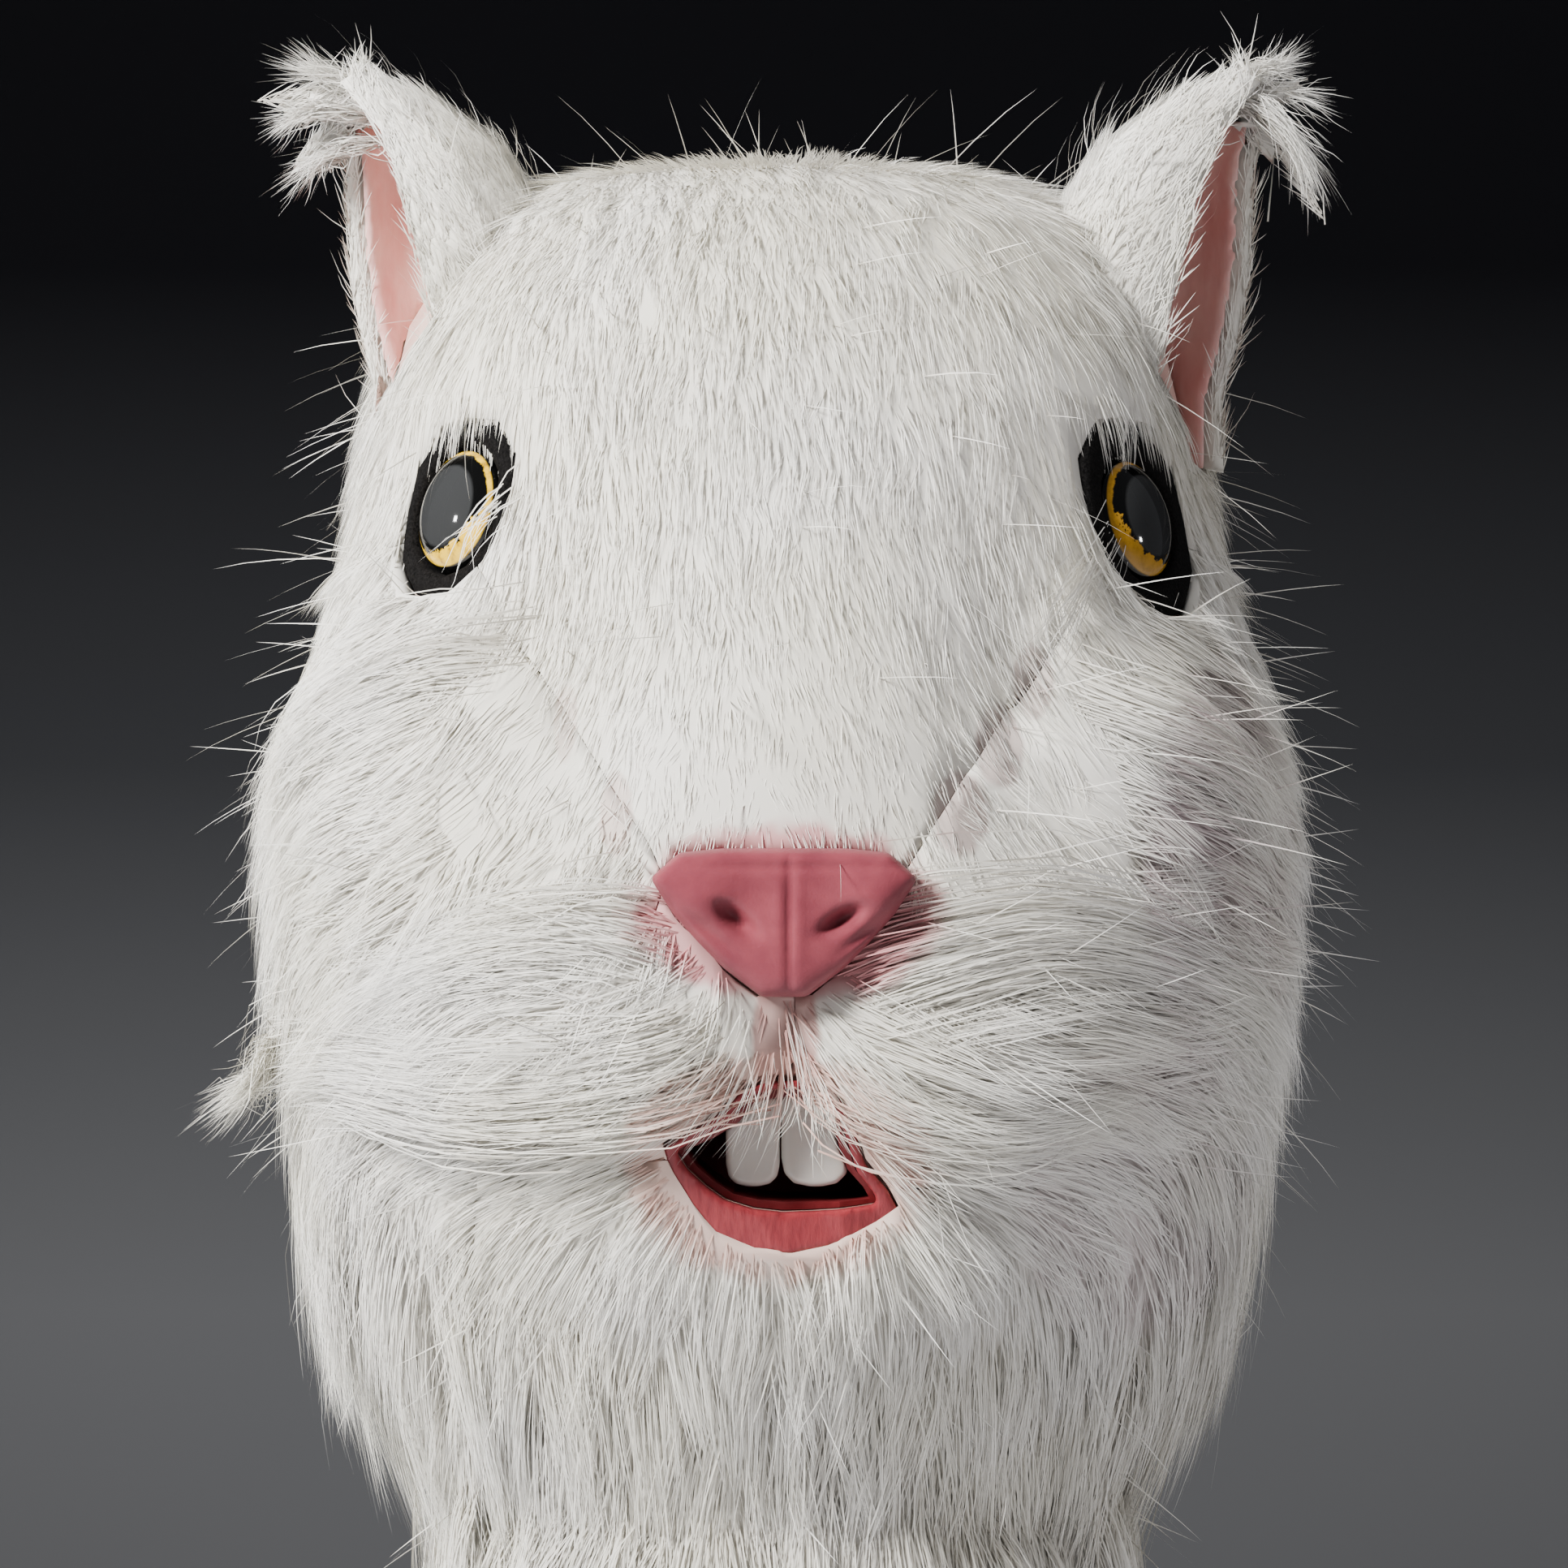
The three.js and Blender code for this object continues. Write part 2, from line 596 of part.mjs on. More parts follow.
// The panels' outlines seen from the front, across as shares of half the hood's width and down
// as shares of its height; a back outline lies behind the side seam
const crownSeam = 0.32;
const ruffSeam = 0.76;
const panels = {
  crown_fur: {
    front: [[-2, -0.5], [2, -0.5], [2, crownSeam], [0.68, 0.28], [0.22, 0.53], [-0.22, 0.53],
      [-0.66, 0.28], [-2, crownSeam]],
    back: [[-2, -0.5], [2, -0.5], [2, crownSeam], [-2, crownSeam]],
  },
  left_cheek_fur: {
    front: [[-2, crownSeam], [-0.66, 0.28], [-0.22, 0.53], [-0.24, 0.55], [-0.90, 0.62], [-2, 0.62]],
  },
  right_cheek_fur: {
    front: [[0.68, 0.28], [2, crownSeam], [2, 0.62], [0.90, 0.62], [0.24, 0.55], [0.22, 0.53]],
  },
  left_muzzle_fur: {
    front: [[-0.22, 0.53], [0.01, 0.53], [0.01, 0.72], [-0.22, 0.73], [-0.90, ruffSeam], [-2, ruffSeam],
      [-2, 0.62], [-0.90, 0.62], [-0.24, 0.55]],
  },
  right_muzzle_fur: {
    front: [[0.01, 0.53], [0.22, 0.53], [0.24, 0.55], [0.90, 0.62], [2, 0.62], [2, ruffSeam],
      [0.90, ruffSeam], [0.20, 0.75], [0.01, 0.72]],
  },
  chin_fur: {
    front: [[-0.22, 0.73], [0.01, 0.72], [0.20, 0.75], [0.60, ruffSeam], [0.62, 1.2], [-0.72, 1.2],
      [-0.62, 0.75]],
  },
  nape_fur: {
    back: [[-2, crownSeam], [2, crownSeam], [2, ruffSeam], [-2, ruffSeam]],
  },
  neck_ruff: {
    front: [[-2, ruffSeam], [-0.90, ruffSeam], [-0.62, 0.75], [-0.72, 1.2], [-2, 1.2]],
    frontRight: [[0.60, ruffSeam], [0.90, ruffSeam], [2, ruffSeam], [2, 1.2], [0.62, 1.2]],
    back: [[-2, ruffSeam], [2, ruffSeam], [2, 1.2], [-2, 1.2]],
  },
};
const sideSeam = hoodWidth * 0.1;
const coatSpan = 2 * hoodWidth;

function panelOutline(table) {
  return table.map(([across, down]) => new THREE.Vector2((across * hoodWidth) / 2, -down * hoodHeight));
}

// How far a panel's outline runs from the back to the front, on either side of the side seam
function panelSpan(side) {
  return side === "back" ? [-coatSpan, -sideSeam] : [-sideSeam, coatSpan];
}

function panelPrism(table, side) {
  return facePlate(panelOutline(table), 0, ...panelSpan(side));
}

// A lock of fur: a flat tapering body along a path, thickest a third of the way to its tip
const lockSteps = 3;
const lockTaper = [0.60, 1.00, 0.66, 0.06];

function lock(pathAt, outAt, width, thickness, grow) {
  const rings = [];
  for (let step = 0; step <= lockSteps; step += 1) {
    const t = step / lockSteps;
    const centre = pathAt(t);
    const along = pathAt(Math.min(t + 0.05, 1)).sub(pathAt(Math.max(t - 0.05, 0))).normalize();
    const across = along.clone().cross(outAt(t)).normalize();
    const out = across.clone().cross(along);
    const [w, h] = [width / 2, thickness / 2].map((half) => half * lockTaper[step] + grow);
    rings.push([
      centre.clone().addScaledVector(across, w).addScaledVector(out, -h / 2),
      centre.clone().addScaledVector(out, h),
      centre.clone().addScaledVector(across, -w).addScaledVector(out, -h / 2),
    ]);
  }
  return loft(rings);
}

// Rows of locks, each row on one panel. It runs from one turn to another in degrees and from one
// share of the hood's height to another; every lock sweeps on by its own turn and fall, its tip
// stands off the latex by the flare, a share of the pile, and its width is a share of the locks'
const lockRows = [
  { panel: "left_muzzle_fur", count: 3, turn: [-14, -34], down: [0.60, 0.66],
    sweep: [-34, -30], fall: 0.07, flare: 2.2, wide: 1.00 },
  { panel: "left_muzzle_fur", count: 2, turn: [-64, -70], down: [0.64, 0.67],
    sweep: [-17, -13], fall: 0.08, flare: 4.2, wide: 0.72 },
  { panel: "right_muzzle_fur", count: 3, turn: [9, 24], down: [0.59, 0.66],
    sweep: [44, 36], fall: 0.05, flare: 2.6, wide: 1.04 },
  { panel: "right_muzzle_fur", count: 1, turn: [44, 44], down: [0.60, 0.60],
    sweep: [22, 22], fall: 0.12, flare: 2.8, wide: 0.78 },
  { panel: "left_cheek_fur", count: 2, turn: [-30, -36], down: [0.40, 0.52],
    sweep: [-30, -34], fall: 0.10, flare: 2.0, wide: 0.92 },
  { panel: "left_cheek_fur", count: 3, turn: [-72, -76], down: [0.38, 0.56],
    sweep: [-14, -10], fall: 0.13, flare: 2.6, wide: 0.92 },
  { panel: "right_cheek_fur", count: 2, turn: [32, 38], down: [0.42, 0.53],
    sweep: [28, 32], fall: 0.10, flare: 1.9, wide: 0.92 },
  { panel: "right_cheek_fur", count: 3, turn: [72, 76], down: [0.40, 0.56],
    sweep: [14, 10], fall: 0.12, flare: 2.2, wide: 0.86 },
  { panel: "chin_fur", count: 6, turn: [-40, 34], down: [0.97, 0.97],
    sweep: [3, -3], fall: 0.19, flare: 1.5, wide: 1.00 },
  { panel: "neck_ruff", count: 2, turn: [-80, -56], down: [0.74, 0.82],
    sweep: [-2, 4], fall: 0.22, flare: 3.2, wide: 1.00 },
  { panel: "neck_ruff", count: 2, turn: [58, 82], down: [0.82, 0.74],
    sweep: [-4, 2], fall: 0.22, flare: 2.8, wide: 1.00 },
  { panel: "neck_ruff", count: 9, turn: [66, 294], down: [0.95, 0.95],
    sweep: [0, 0], fall: 0.20, flare: 1.6, wide: 1.45 },
];
const lockRootLift = 0.55;

function rowLocks(row, grow) {
  const locks = [];
  for (let k = 0; k < row.count; k += 1) {
    const share = row.count > 1 ? k / (row.count - 1) : 0;
    const uneven = 1 + 0.1 * Math.sin(2.4 * k + row.count);
    const turn = THREE.MathUtils.degToRad(THREE.MathUtils.lerp(...row.turn, share));
    const sweep = THREE.MathUtils.degToRad(THREE.MathUtils.lerp(...row.sweep, share));
    const down = THREE.MathUtils.lerp(...row.down, share);
    const fall = row.fall * uneven * (ruffLength / hoodHeight) * 4;
    const turnOf = (t) => turn + sweep * t;
    const placeOf = (t) => placeAt(down + fall * t * (0.7 + 0.3 * t));
    const liftOf = (t) => pile * THREE.MathUtils.lerp(lockRootLift, row.flare, t);
    const pathAt = (t) => skin(turnOf(t), placeOf(t), liftOf(t));
    const outAt = (t) => skinNormal(turnOf(t), placeOf(t));
    locks.push(lock(pathAt, outAt, row.wide * lockWidth, lockThickness, grow));
  }
  return locks;
}

// The ears' tufts: locks that stream off each tip, outwards and a little up, or drooping
const tufts = [
  { ear: "left", back: 0.0, out: 1.00, up: 0.25, droop: 0.10, length: 1.05, wide: 0.46 },
  { ear: "left", back: 0.3, out: 0.95, up: -0.10, droop: 0.50, length: 0.80, wide: 0.35 },
  { ear: "right", back: 0.0, out: 1.00, up: 0.55, droop: 0.10, length: 0.75, wide: 0.39 },
  { ear: "right", back: 0.2, out: 0.85, up: 0.20, droop: 1.10, length: 1.05, wide: 0.42 },
];
const tuftRoot = 0.86;

function tuft(row, grow) {
  const form = earForms[row.ear];
  const tip = earLine(form).getPoint(tuftRoot);
  const reach = tuftLength * row.length;
  const pathAt = (t) => tip.clone().add(new THREE.Vector3(
    form.side * row.out * t, row.back * t, row.up * t - row.droop * t * t).multiplyScalar(reach));
  const width = row.wide * lockWidth;
  return lock(pathAt, () => new THREE.Vector3(0, -1, 0), width, width * 0.6, grow);
}

// The seams between the panels: a thin wall on each edge of a panel's outline
function seamWalls(table, side) {
  const outline = panelOutline(table);
  const [back, front] = panelSpan(side);
  return outline.map((start, k) => {
    const end = outline[(k + 1) % outline.length];
    const edge = end.clone().sub(start);
    const length = edge.length() + clearance;
    const wall = new THREE.BoxGeometry(length, clearance, front - back);
    wall.rotateZ(edge.angle());
    wall.translate((start.x + end.x) / 2, (start.y + end.y) / 2, (front + back) / 2);
    return solid(wall).rotate([90, 0, 0]);
  });
}

const sides = (panel) => Object.entries(panel).map(([side, table]) => ({ side, table }));
const union = (bodies) => wasm.Manifold.union(bodies);

// The side seam runs down both sides of the head, from the crown panel to the ruff
const seamHeight = (ruffSeam - crownSeam) * hoodHeight;
const sideWall = solid(new THREE.BoxGeometry(coatSpan, clearance, seamHeight)
  .translate(0, sideSeam, -crownSeam * hoodHeight - seamHeight / 2));
const edgeWalls = Object.values(panels).flatMap(sides).flatMap(({ side, table }) => seamWalls(table, side));
const seams = union([...edgeWalls, sideWall]);
const cutCoat = coat.subtract(seams);

const root = new THREE.Group();

function addPiece(name, body, colour, roughness) {
  const material = new THREE.MeshStandardMaterial({ color: colour, roughness, flatShading: true });
  const mesh = new THREE.Mesh(geometryOf(body), material);
  mesh.name = name;
  root.add(mesh);
}

addPiece("hood", hood, 0xc9a08f, 0.6);
addPiece("left_eye", leftEye.eye, 0x1c1c1e, 0.08);
addPiece("right_eye", rightEye.eye, 0x1c1c1e, 0.08);
addPiece("left_eye_rim", leftEye.rim, 0x0b0b0c, 0.85);
addPiece("right_eye_rim", rightEye.rim, 0x0b0b0c, 0.85);
addPiece("nose", nose, 0xa0505e, 0.55);
addPiece("mouth_lining", largest(mouthLining), 0x5a1a1e, 0.5);
addPiece("lips", lips, 0xb04a50, 0.45);
addPiece("left_tooth", leftTooth, 0xe0ddd2, 0.3);
addPiece("right_tooth", rightTooth, 0xe0ddd2, 0.3);
addPiece("left_ear", leftEar.shell, 0xe8b0a6, 0.6);
addPiece("right_ear", rightEar.shell, 0xe8b0a6, 0.6);
for (const [ear, parts] of [["left", leftEar], ["right", rightEar]]) {
  const tips = union(tufts.filter((row) => row.ear === ear).map((row) => tuft(row, 0)));
  const fur = tips.subtract(parts.keep.add(parts.shell)).add(parts.coat);
  addPiece(`${ear}_ear_fur`, largest(fur), 0xefece4, 0.95);
}

// Each panel with its own locks; a panel laid later makes room for the locks that lie over it
const laid = [leftEar.blank, rightEar.blank, ...tufts.map((row) => tuft(row, clearance))];
const keptClear = union([...faceHoles, keepOut]);
const earlier = [];
for (const [name, panel] of Object.entries(panels)) {
  const shape = union(sides(panel).map(({ side, table }) => panelPrism(table, side)));
  const rows = lockRows.filter((row) => row.panel === name);
  let locks = union(rows.flatMap((row) => rowLocks(row, 0))).subtract(keptClear);
  if (earlier.length) locks = locks.subtract(coat.intersect(union(earlier)));
  let body = cutCoat.intersect(shape).add(locks);
  for (const kept of laid) body = body.subtract(kept);
  addPiece(name, largest(body), 0xf1efea, 0.95);
  laid.push(...rows.flatMap((row) => rowLocks(row, 2 * clearance)));
  earlier.push(shape);
}

export default root;
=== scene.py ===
import math

import bmesh
import bpy
import numpy as np
from mathutils import Matrix, Vector
from mathutils.bvhtree import BVHTree
from mathutils.kdtree import KDTree


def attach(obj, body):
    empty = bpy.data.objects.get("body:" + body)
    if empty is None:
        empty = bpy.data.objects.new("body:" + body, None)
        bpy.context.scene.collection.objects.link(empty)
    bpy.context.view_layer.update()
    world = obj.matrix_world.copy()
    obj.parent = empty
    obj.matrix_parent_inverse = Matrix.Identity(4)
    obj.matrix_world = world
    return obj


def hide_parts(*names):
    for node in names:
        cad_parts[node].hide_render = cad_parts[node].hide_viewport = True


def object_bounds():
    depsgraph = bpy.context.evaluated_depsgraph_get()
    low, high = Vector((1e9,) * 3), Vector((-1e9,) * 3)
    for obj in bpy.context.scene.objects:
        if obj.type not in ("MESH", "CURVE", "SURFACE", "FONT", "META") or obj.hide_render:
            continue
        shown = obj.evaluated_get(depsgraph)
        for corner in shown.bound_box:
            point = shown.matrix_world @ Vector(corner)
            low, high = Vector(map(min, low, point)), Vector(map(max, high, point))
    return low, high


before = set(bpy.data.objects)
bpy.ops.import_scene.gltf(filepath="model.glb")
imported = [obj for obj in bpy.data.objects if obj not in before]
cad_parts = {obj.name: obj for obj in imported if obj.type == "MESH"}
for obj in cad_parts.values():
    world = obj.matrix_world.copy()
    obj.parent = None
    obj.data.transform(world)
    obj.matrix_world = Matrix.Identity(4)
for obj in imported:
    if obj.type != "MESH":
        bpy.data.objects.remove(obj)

cad_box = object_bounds()
MM = 0.001

# The camera stands as far off as a portrait of a worn mask is taken, level with its muzzle
CAMERA_DISTANCE = 1.150
CAMERA_HEIGHT = -0.161
FOCAL_LENGTH = 95.4
SENSOR_WIDTH = 36.0

bpy.ops.object.select_all(action="DESELECT")
bpy.ops.object.camera_add(location=(0, -CAMERA_DISTANCE, CAMERA_HEIGHT), rotation=(math.pi / 2, 0, 0))
camera = bpy.context.object
camera.data.lens = FOCAL_LENGTH
camera.data.sensor_width = SENSOR_WIDTH
bpy.context.scene.camera = camera

# Light goes from strand to strand a few times only: enough to keep the white pile bright
bpy.context.scene.cycles.diffuse_bounces = 3
bpy.context.scene.cycles.glossy_bounces = 2


# Shader maths: a socket wrapped so that plain expressions add its Math nodes
class Level:
    def __init__(self, finish, socket):
        self.finish = finish
        self.socket = socket

    def math(self, operation, other):
        return self.finish.node("ShaderNodeMath", {"operation": operation}, {0: self, 1: other})

    def __add__(self, other):
        return self.math("ADD", other)

    def __sub__(self, other):
        return self.math("SUBTRACT", other)

    def __mul__(self, other):
        return self.math("MULTIPLY", other)

    def __pow__(self, other):
        return self.math("POWER", other)

    __radd__ = __add__
    __rmul__ = __mul__


class Finish:
    """One material: its nodes, and the shader whose sockets they feed."""

    def __init__(self, name, **constants):
        self.material = bpy.data.materials.new(name)
        self.material.use_nodes = True
        self.tree = self.material.node_tree
        self.shader = next(node for node in self.tree.nodes if node.type == "BSDF_PRINCIPLED")
        for socket, value in constants.items():
            self.shader.inputs[socket.replace("_", " ")].default_value = value
        self.place = self.node("ShaderNodeTexCoord", {}, {}, "Object")

    def node(self, kind, settings, sockets, output=0):
        node = self.tree.nodes.new(kind)
        for name, value in settings.items():
            if name == "stops":
                ramp = node.color_ramp
                while len(ramp.elements) < len(value):
                    ramp.elements.new(0.5)
                for element, (position, colour) in zip(ramp.elements, value):
                    element.position = position
                    element.color = (*colour, 1)
            else:
                setattr(node, name, value)
        for name, value in sockets.items():
            if isinstance(value, Level):
                self.tree.links.new(value.socket, node.inputs[name])
            elif value is not None:
                node.inputs[name].default_value = value
        return Level(self, node.outputs[output])

    def noise(self, scale, detail=3.0, stretch=(1, 1, 1), roughness=0.55):
        place = self.node("ShaderNodeMapping", {}, {"Vector": self.place, "Scale": stretch})
        return self.node("ShaderNodeTexNoise", {},
                         {"Vector": place, "Scale": scale, "Detail": detail, "Roughness": roughness}, "Fac")

    def ramp(self, level, stops):
        return self.node("ShaderNodeValToRGB", {"stops": stops}, {"Fac": level}, "Color")

    def mix(self, share, first, second, blend="MIX"):
        node = self.tree.nodes.new("ShaderNodeMix")
        node.data_type = "RGBA"
        node.blend_type = blend
        for index, value in ((0, share), (6, first), (7, second)):
            if isinstance(value, Level):
                self.tree.links.new(value.socket, node.inputs[index])
            else:
                node.inputs[index].default_value = (*value, 1) if index else value
        return Level(self, node.outputs[2])

    def feed(self, socket, level):
        self.tree.links.new(level.socket, self.shader.inputs[socket])

    def bump(self, height, strength, distance):
        bump = self.node("ShaderNodeBump", {},
                         {"Height": height, "Strength": strength, "Distance": distance})
        self.feed("Normal", bump)


# Studio: a pale floor well below the mask, a dark backdrop behind it, a soft key from the upper
# left, and weaker lights round it
FLOOR_DROP = 0.36
FLOOR_SIZE = 12.0
BACKDROP_SIZE = 6.0
BACKDROP_DISTANCE = 1.9

paper = Finish("studio_paper", Roughness=0.9)
shade = paper.noise(0.6, 2.0)
paper.feed("Base Color", paper.ramp(shade, [(0.3, (0.50, 0.50, 0.52)), (0.7, (0.56, 0.56, 0.58))]))
floor_height = cad_box[0][2] - FLOOR_DROP
bpy.ops.mesh.primitive_plane_add(size=FLOOR_SIZE, location=(0, 0, floor_height))
floor = bpy.context.object
floor.name = "studio_floor"
floor.data.materials.append(paper.material)

dark_paper = Finish("backdrop_paper", Roughness=0.95)
# The backdrop is painted darker towards its top: painted shade standing in for the light falling off it
painted_falloff = dark_paper.node("ShaderNodeSeparateXYZ", {}, {"Vector": dark_paper.place}, "Z") * 0.55 + 0.5
dark_paper.feed("Base Color", dark_paper.ramp(
    painted_falloff, [(0.20, (0.11, 0.112, 0.118)), (0.42, (0.028, 0.029, 0.032)), (0.62, (0.002, 0.002, 0.003))]))
bpy.ops.mesh.primitive_plane_add(
    size=BACKDROP_SIZE, rotation=(math.pi / 2, 0, 0), location=(0, BACKDROP_DISTANCE, 0))
bpy.ops.object.transform_apply(location=True, rotation=True, scale=True)
backdrop = bpy.context.object
backdrop.name = "studio_backdrop"
backdrop.data.materials.append(dark_paper.material)

LIGHTS = [
    # name, place, size, watts, colour
    ("key", (-1.00, -0.95, 0.60), 0.36, 76.0, (1.0, 0.985, 0.955)),
    ("fill", (1.4, -1.4, 0.0), 1.2, 5.0, (1.0, 0.94, 0.97)),
    ("top", (0.0, 0.1, 1.4), 0.8, 14.0, (1.0, 1.0, 1.0)),
    ("back_left", (-1.3, 0.9, 0.3), 0.6, 14.0, (0.97, 0.98, 1.0)),
    ("left_spark", (-1.55, -0.35, 0.20), 0.10, 4.0, (1.0, 1.0, 1.0)),
    ("right_spark", (1.55, -0.20, -0.05), 0.08, 2.0, (1.0, 1.0, 1.0)),
]
# The lights that the glossy eyes mirror, and the spot that all lights aim at
MIRRORED = ("left_spark", "right_spark")
AIM = Vector((0, -0.02, -0.17))
for name, place, size, watts, colour in LIGHTS:
    bpy.ops.object.light_add(type="AREA", location=place)
    light = bpy.context.object
    light.name = "light_" + name
    light.data.size = size
    light.data.energy = watts
    light.data.color = colour
    light.visible_glossy = name in MIRRORED
    light.rotation_euler = (AIM - Vector(place)).to_track_quat("-Z", "Y").to_euler()

world = bpy.data.worlds.new("studio_air")
bpy.context.scene.world = world
world.use_nodes = True
world.node_tree.nodes["Background"].inputs["Color"].default_value = (0.5, 0.52, 0.56, 1)
world.node_tree.nodes["Background"].inputs["Strength"].default_value = 0.12


# Hood: the latex shell that carries everything, cast in one piece and left bare inside
def node_mesh(name):
    """A CAD node's mesh as a bmesh with its loose triangles joined."""
    mesh = bmesh.new()
    mesh.from_mesh(bpy.data.objects[name].data)
    bmesh.ops.remove_doubles(mesh, verts=mesh.verts, dist=1e-6)
    bmesh.ops.recalc_face_normals(mesh, faces=mesh.faces)
    return mesh


def set_finish(obj, finish):
    obj.data.materials.clear()
    obj.data.materials.append(finish.material)


latex = Finish("hood_latex", Roughness=0.55, Specular_IOR_Level=0.4)
mottle = latex.noise(60, 4.0)
latex.feed("Base Color", latex.ramp(mottle, [(0.3, (0.62, 0.38, 0.33)), (0.7, (0.78, 0.55, 0.48))]))
latex.bump(latex.noise(900, 3.0), 0.25, 0.0004)
set_finish(bpy.data.objects["hood"], latex)
hood_mesh = node_mesh("hood")
hood_tree = BVHTree.FromBMesh(hood_mesh)


def new_piece(name, bm, finish, slot, *nodes):
    mesh = bpy.data.meshes.new(name)
    bm.to_mesh(mesh)
    bm.free()
    piece = bpy.data.objects.new(name, mesh)
    bpy.context.collection.objects.link(piece)
    return dress(piece, finish, slot, *nodes)


def dress(piece, finish, slot, *nodes):
    set_finish(piece, finish)
    for polygon in piece.data.polygons:
        polygon.use_smooth = True
    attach(piece, "root")
    if nodes:
        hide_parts(*nodes)
    return piece


# Eyes: resin domes, each a dark iris with a thin amber ring, set in a black flocked surround. The
# ring's outer edge, its width, what its lower side adds and the pupil are shares of the radius.
EYE_RING = 0.905
RING_WIDTH = 0.065
RING_LOWER = 0.20
PUPIL = 0.62


def seat_of(node):
    """The middle of a round node's flat back and the way that it faces."""
    mesh = node_mesh(node)
    back = max(mesh.faces, key=lambda face: face.calc_area())
    out = -back.normal.normalized()
    flat = [v.co for v in mesh.verts if abs((v.co - back.verts[0].co).dot(out)) < 1e-5]
    middle = sum(flat, Vector()) / len(flat)
    mesh.free()
    side = Vector((0, 0, 1)).cross(out).normalized()
    up = out.cross(side)
    turn = Matrix((side, up, out)).transposed().to_4x4()
    return Matrix.Translation(middle) @ turn


def eye_finish(name, amber_with_painted_shade, lean_across, seat, radius):
    finish = Finish(name, Roughness=0.06, Specular_IOR_Level=0.7)
    back = seat.inverted()
    turned = finish.node("ShaderNodeMapping", {}, {
        "Vector": finish.place, "Location": back.to_translation(), "Rotation": back.to_euler()})
    parts = {axis: finish.node("ShaderNodeSeparateXYZ", {}, {"Vector": turned}, axis) for axis in "XYZ"}
    across, up = parts["X"] * (1 / radius), parts["Y"] * (1 / radius)
    reach = (across * across + up * up) ** 0.5
    fibres = finish.noise(260, 5.0, roughness=0.7)
    lean = up * -0.9 + across * lean_across + fibres * 1.4 - 1.0
    lower = finish.node("ShaderNodeMapRange", {"interpolation_type": "SMOOTHSTEP"},
                        {"Value": lean, "From Min": 0.0, "From Max": 0.45})
    wide = lower * RING_LOWER + RING_WIDTH
    inner = finish.node("ShaderNodeMapRange", {}, {
        "Value": reach + wide - EYE_RING + (fibres - 0.5) * 0.10, "From Min": 0.0, "From Max": 0.02})
    outer = finish.node("ShaderNodeMapRange", {}, {
        "Value": reach, "From Min": EYE_RING + 0.02, "From Max": EYE_RING, "To Min": 0.0, "To Max": 1.0})
    ring = inner * outer
    amber = finish.ramp(fibres, [(0.30, (0.30, 0.15, 0.006)), (0.55, amber_with_painted_shade)])
    pupil = finish.node("ShaderNodeMapRange", {}, {
        "Value": reach, "From Min": PUPIL, "From Max": PUPIL + 0.05})
    dark = finish.mix(pupil, (0.028, 0.029, 0.030), (0.002, 0.002, 0.002))
    finish.feed("Base Color", finish.mix(ring, dark, amber))
    return finish


flock = Finish("eye_flock", Roughness=0.95, Specular_IOR_Level=0.1)
flock_grain = flock.noise(1500, 3.0)
flock.feed("Base Color", flock.ramp(
    flock_grain, [(0.3, (0.003, 0.003, 0.003)), (0.8, (0.014, 0.013, 0.013))]))
flock.bump(flock_grain, 0.8, 0.0006)

EYES = [
    # side, colour of the amber (painted darker on the right eye as painted shade), how far its thick part
    # leans across
    ("left", (0.86, 0.54, 0.02), 0.5),
    # The right eye's amber is painted darker: painted shade on the eye that faces away from the key light
    ("right", (0.50, 0.26, 0.02), -0.5),
]
for side, amber_with_painted_shade, lean_across in EYES:
    node = side + "_eye"
    seat = seat_of(node)
    flat_mesh = node_mesh(node)
    local = [seat.inverted() @ v.co for v in flat_mesh.verts]
    flat_mesh.free()
    radius = max(math.hypot(p.x, p.y) for p in local)
    top = max(p.z for p in local)
    wall = sorted({round(p.z, 5) for p in local if math.hypot(p.x, p.y) > 0.98 * radius})[-1]
    bpy.ops.object.select_all(action="DESELECT")
    bpy.ops.mesh.primitive_uv_sphere_add(segments=64, ring_count=32, radius=radius)
    dome = bpy.context.object
    dome.name = side + "_eye_dome"
    for vertex in dome.data.vertices:
        if vertex.co.z > 0:
            vertex.co.z = wall + (top - wall) * vertex.co.z / radius
        else:
            vertex.co.z = wall * (1 + vertex.co.z / radius)
    dome.data.transform(seat)
    resin = eye_finish(side + "_eye_resin", amber_with_painted_shade, lean_across, seat, radius)
    dress(dome, resin, "eye_resin", node)

    rim_node = side + "_eye_rim"
    rim = node_mesh(rim_node)
    bmesh.ops.subdivide_edges(rim, edges=rim.edges, cuts=1, use_grid_fill=True)
    bmesh.ops.smooth_vert(rim, verts=rim.verts, factor=0.35,
                          use_axis_x=True, use_axis_y=True, use_axis_z=True)
    new_piece(side + "_eye_surround", rim, flock, "eye_surround", rim_node)


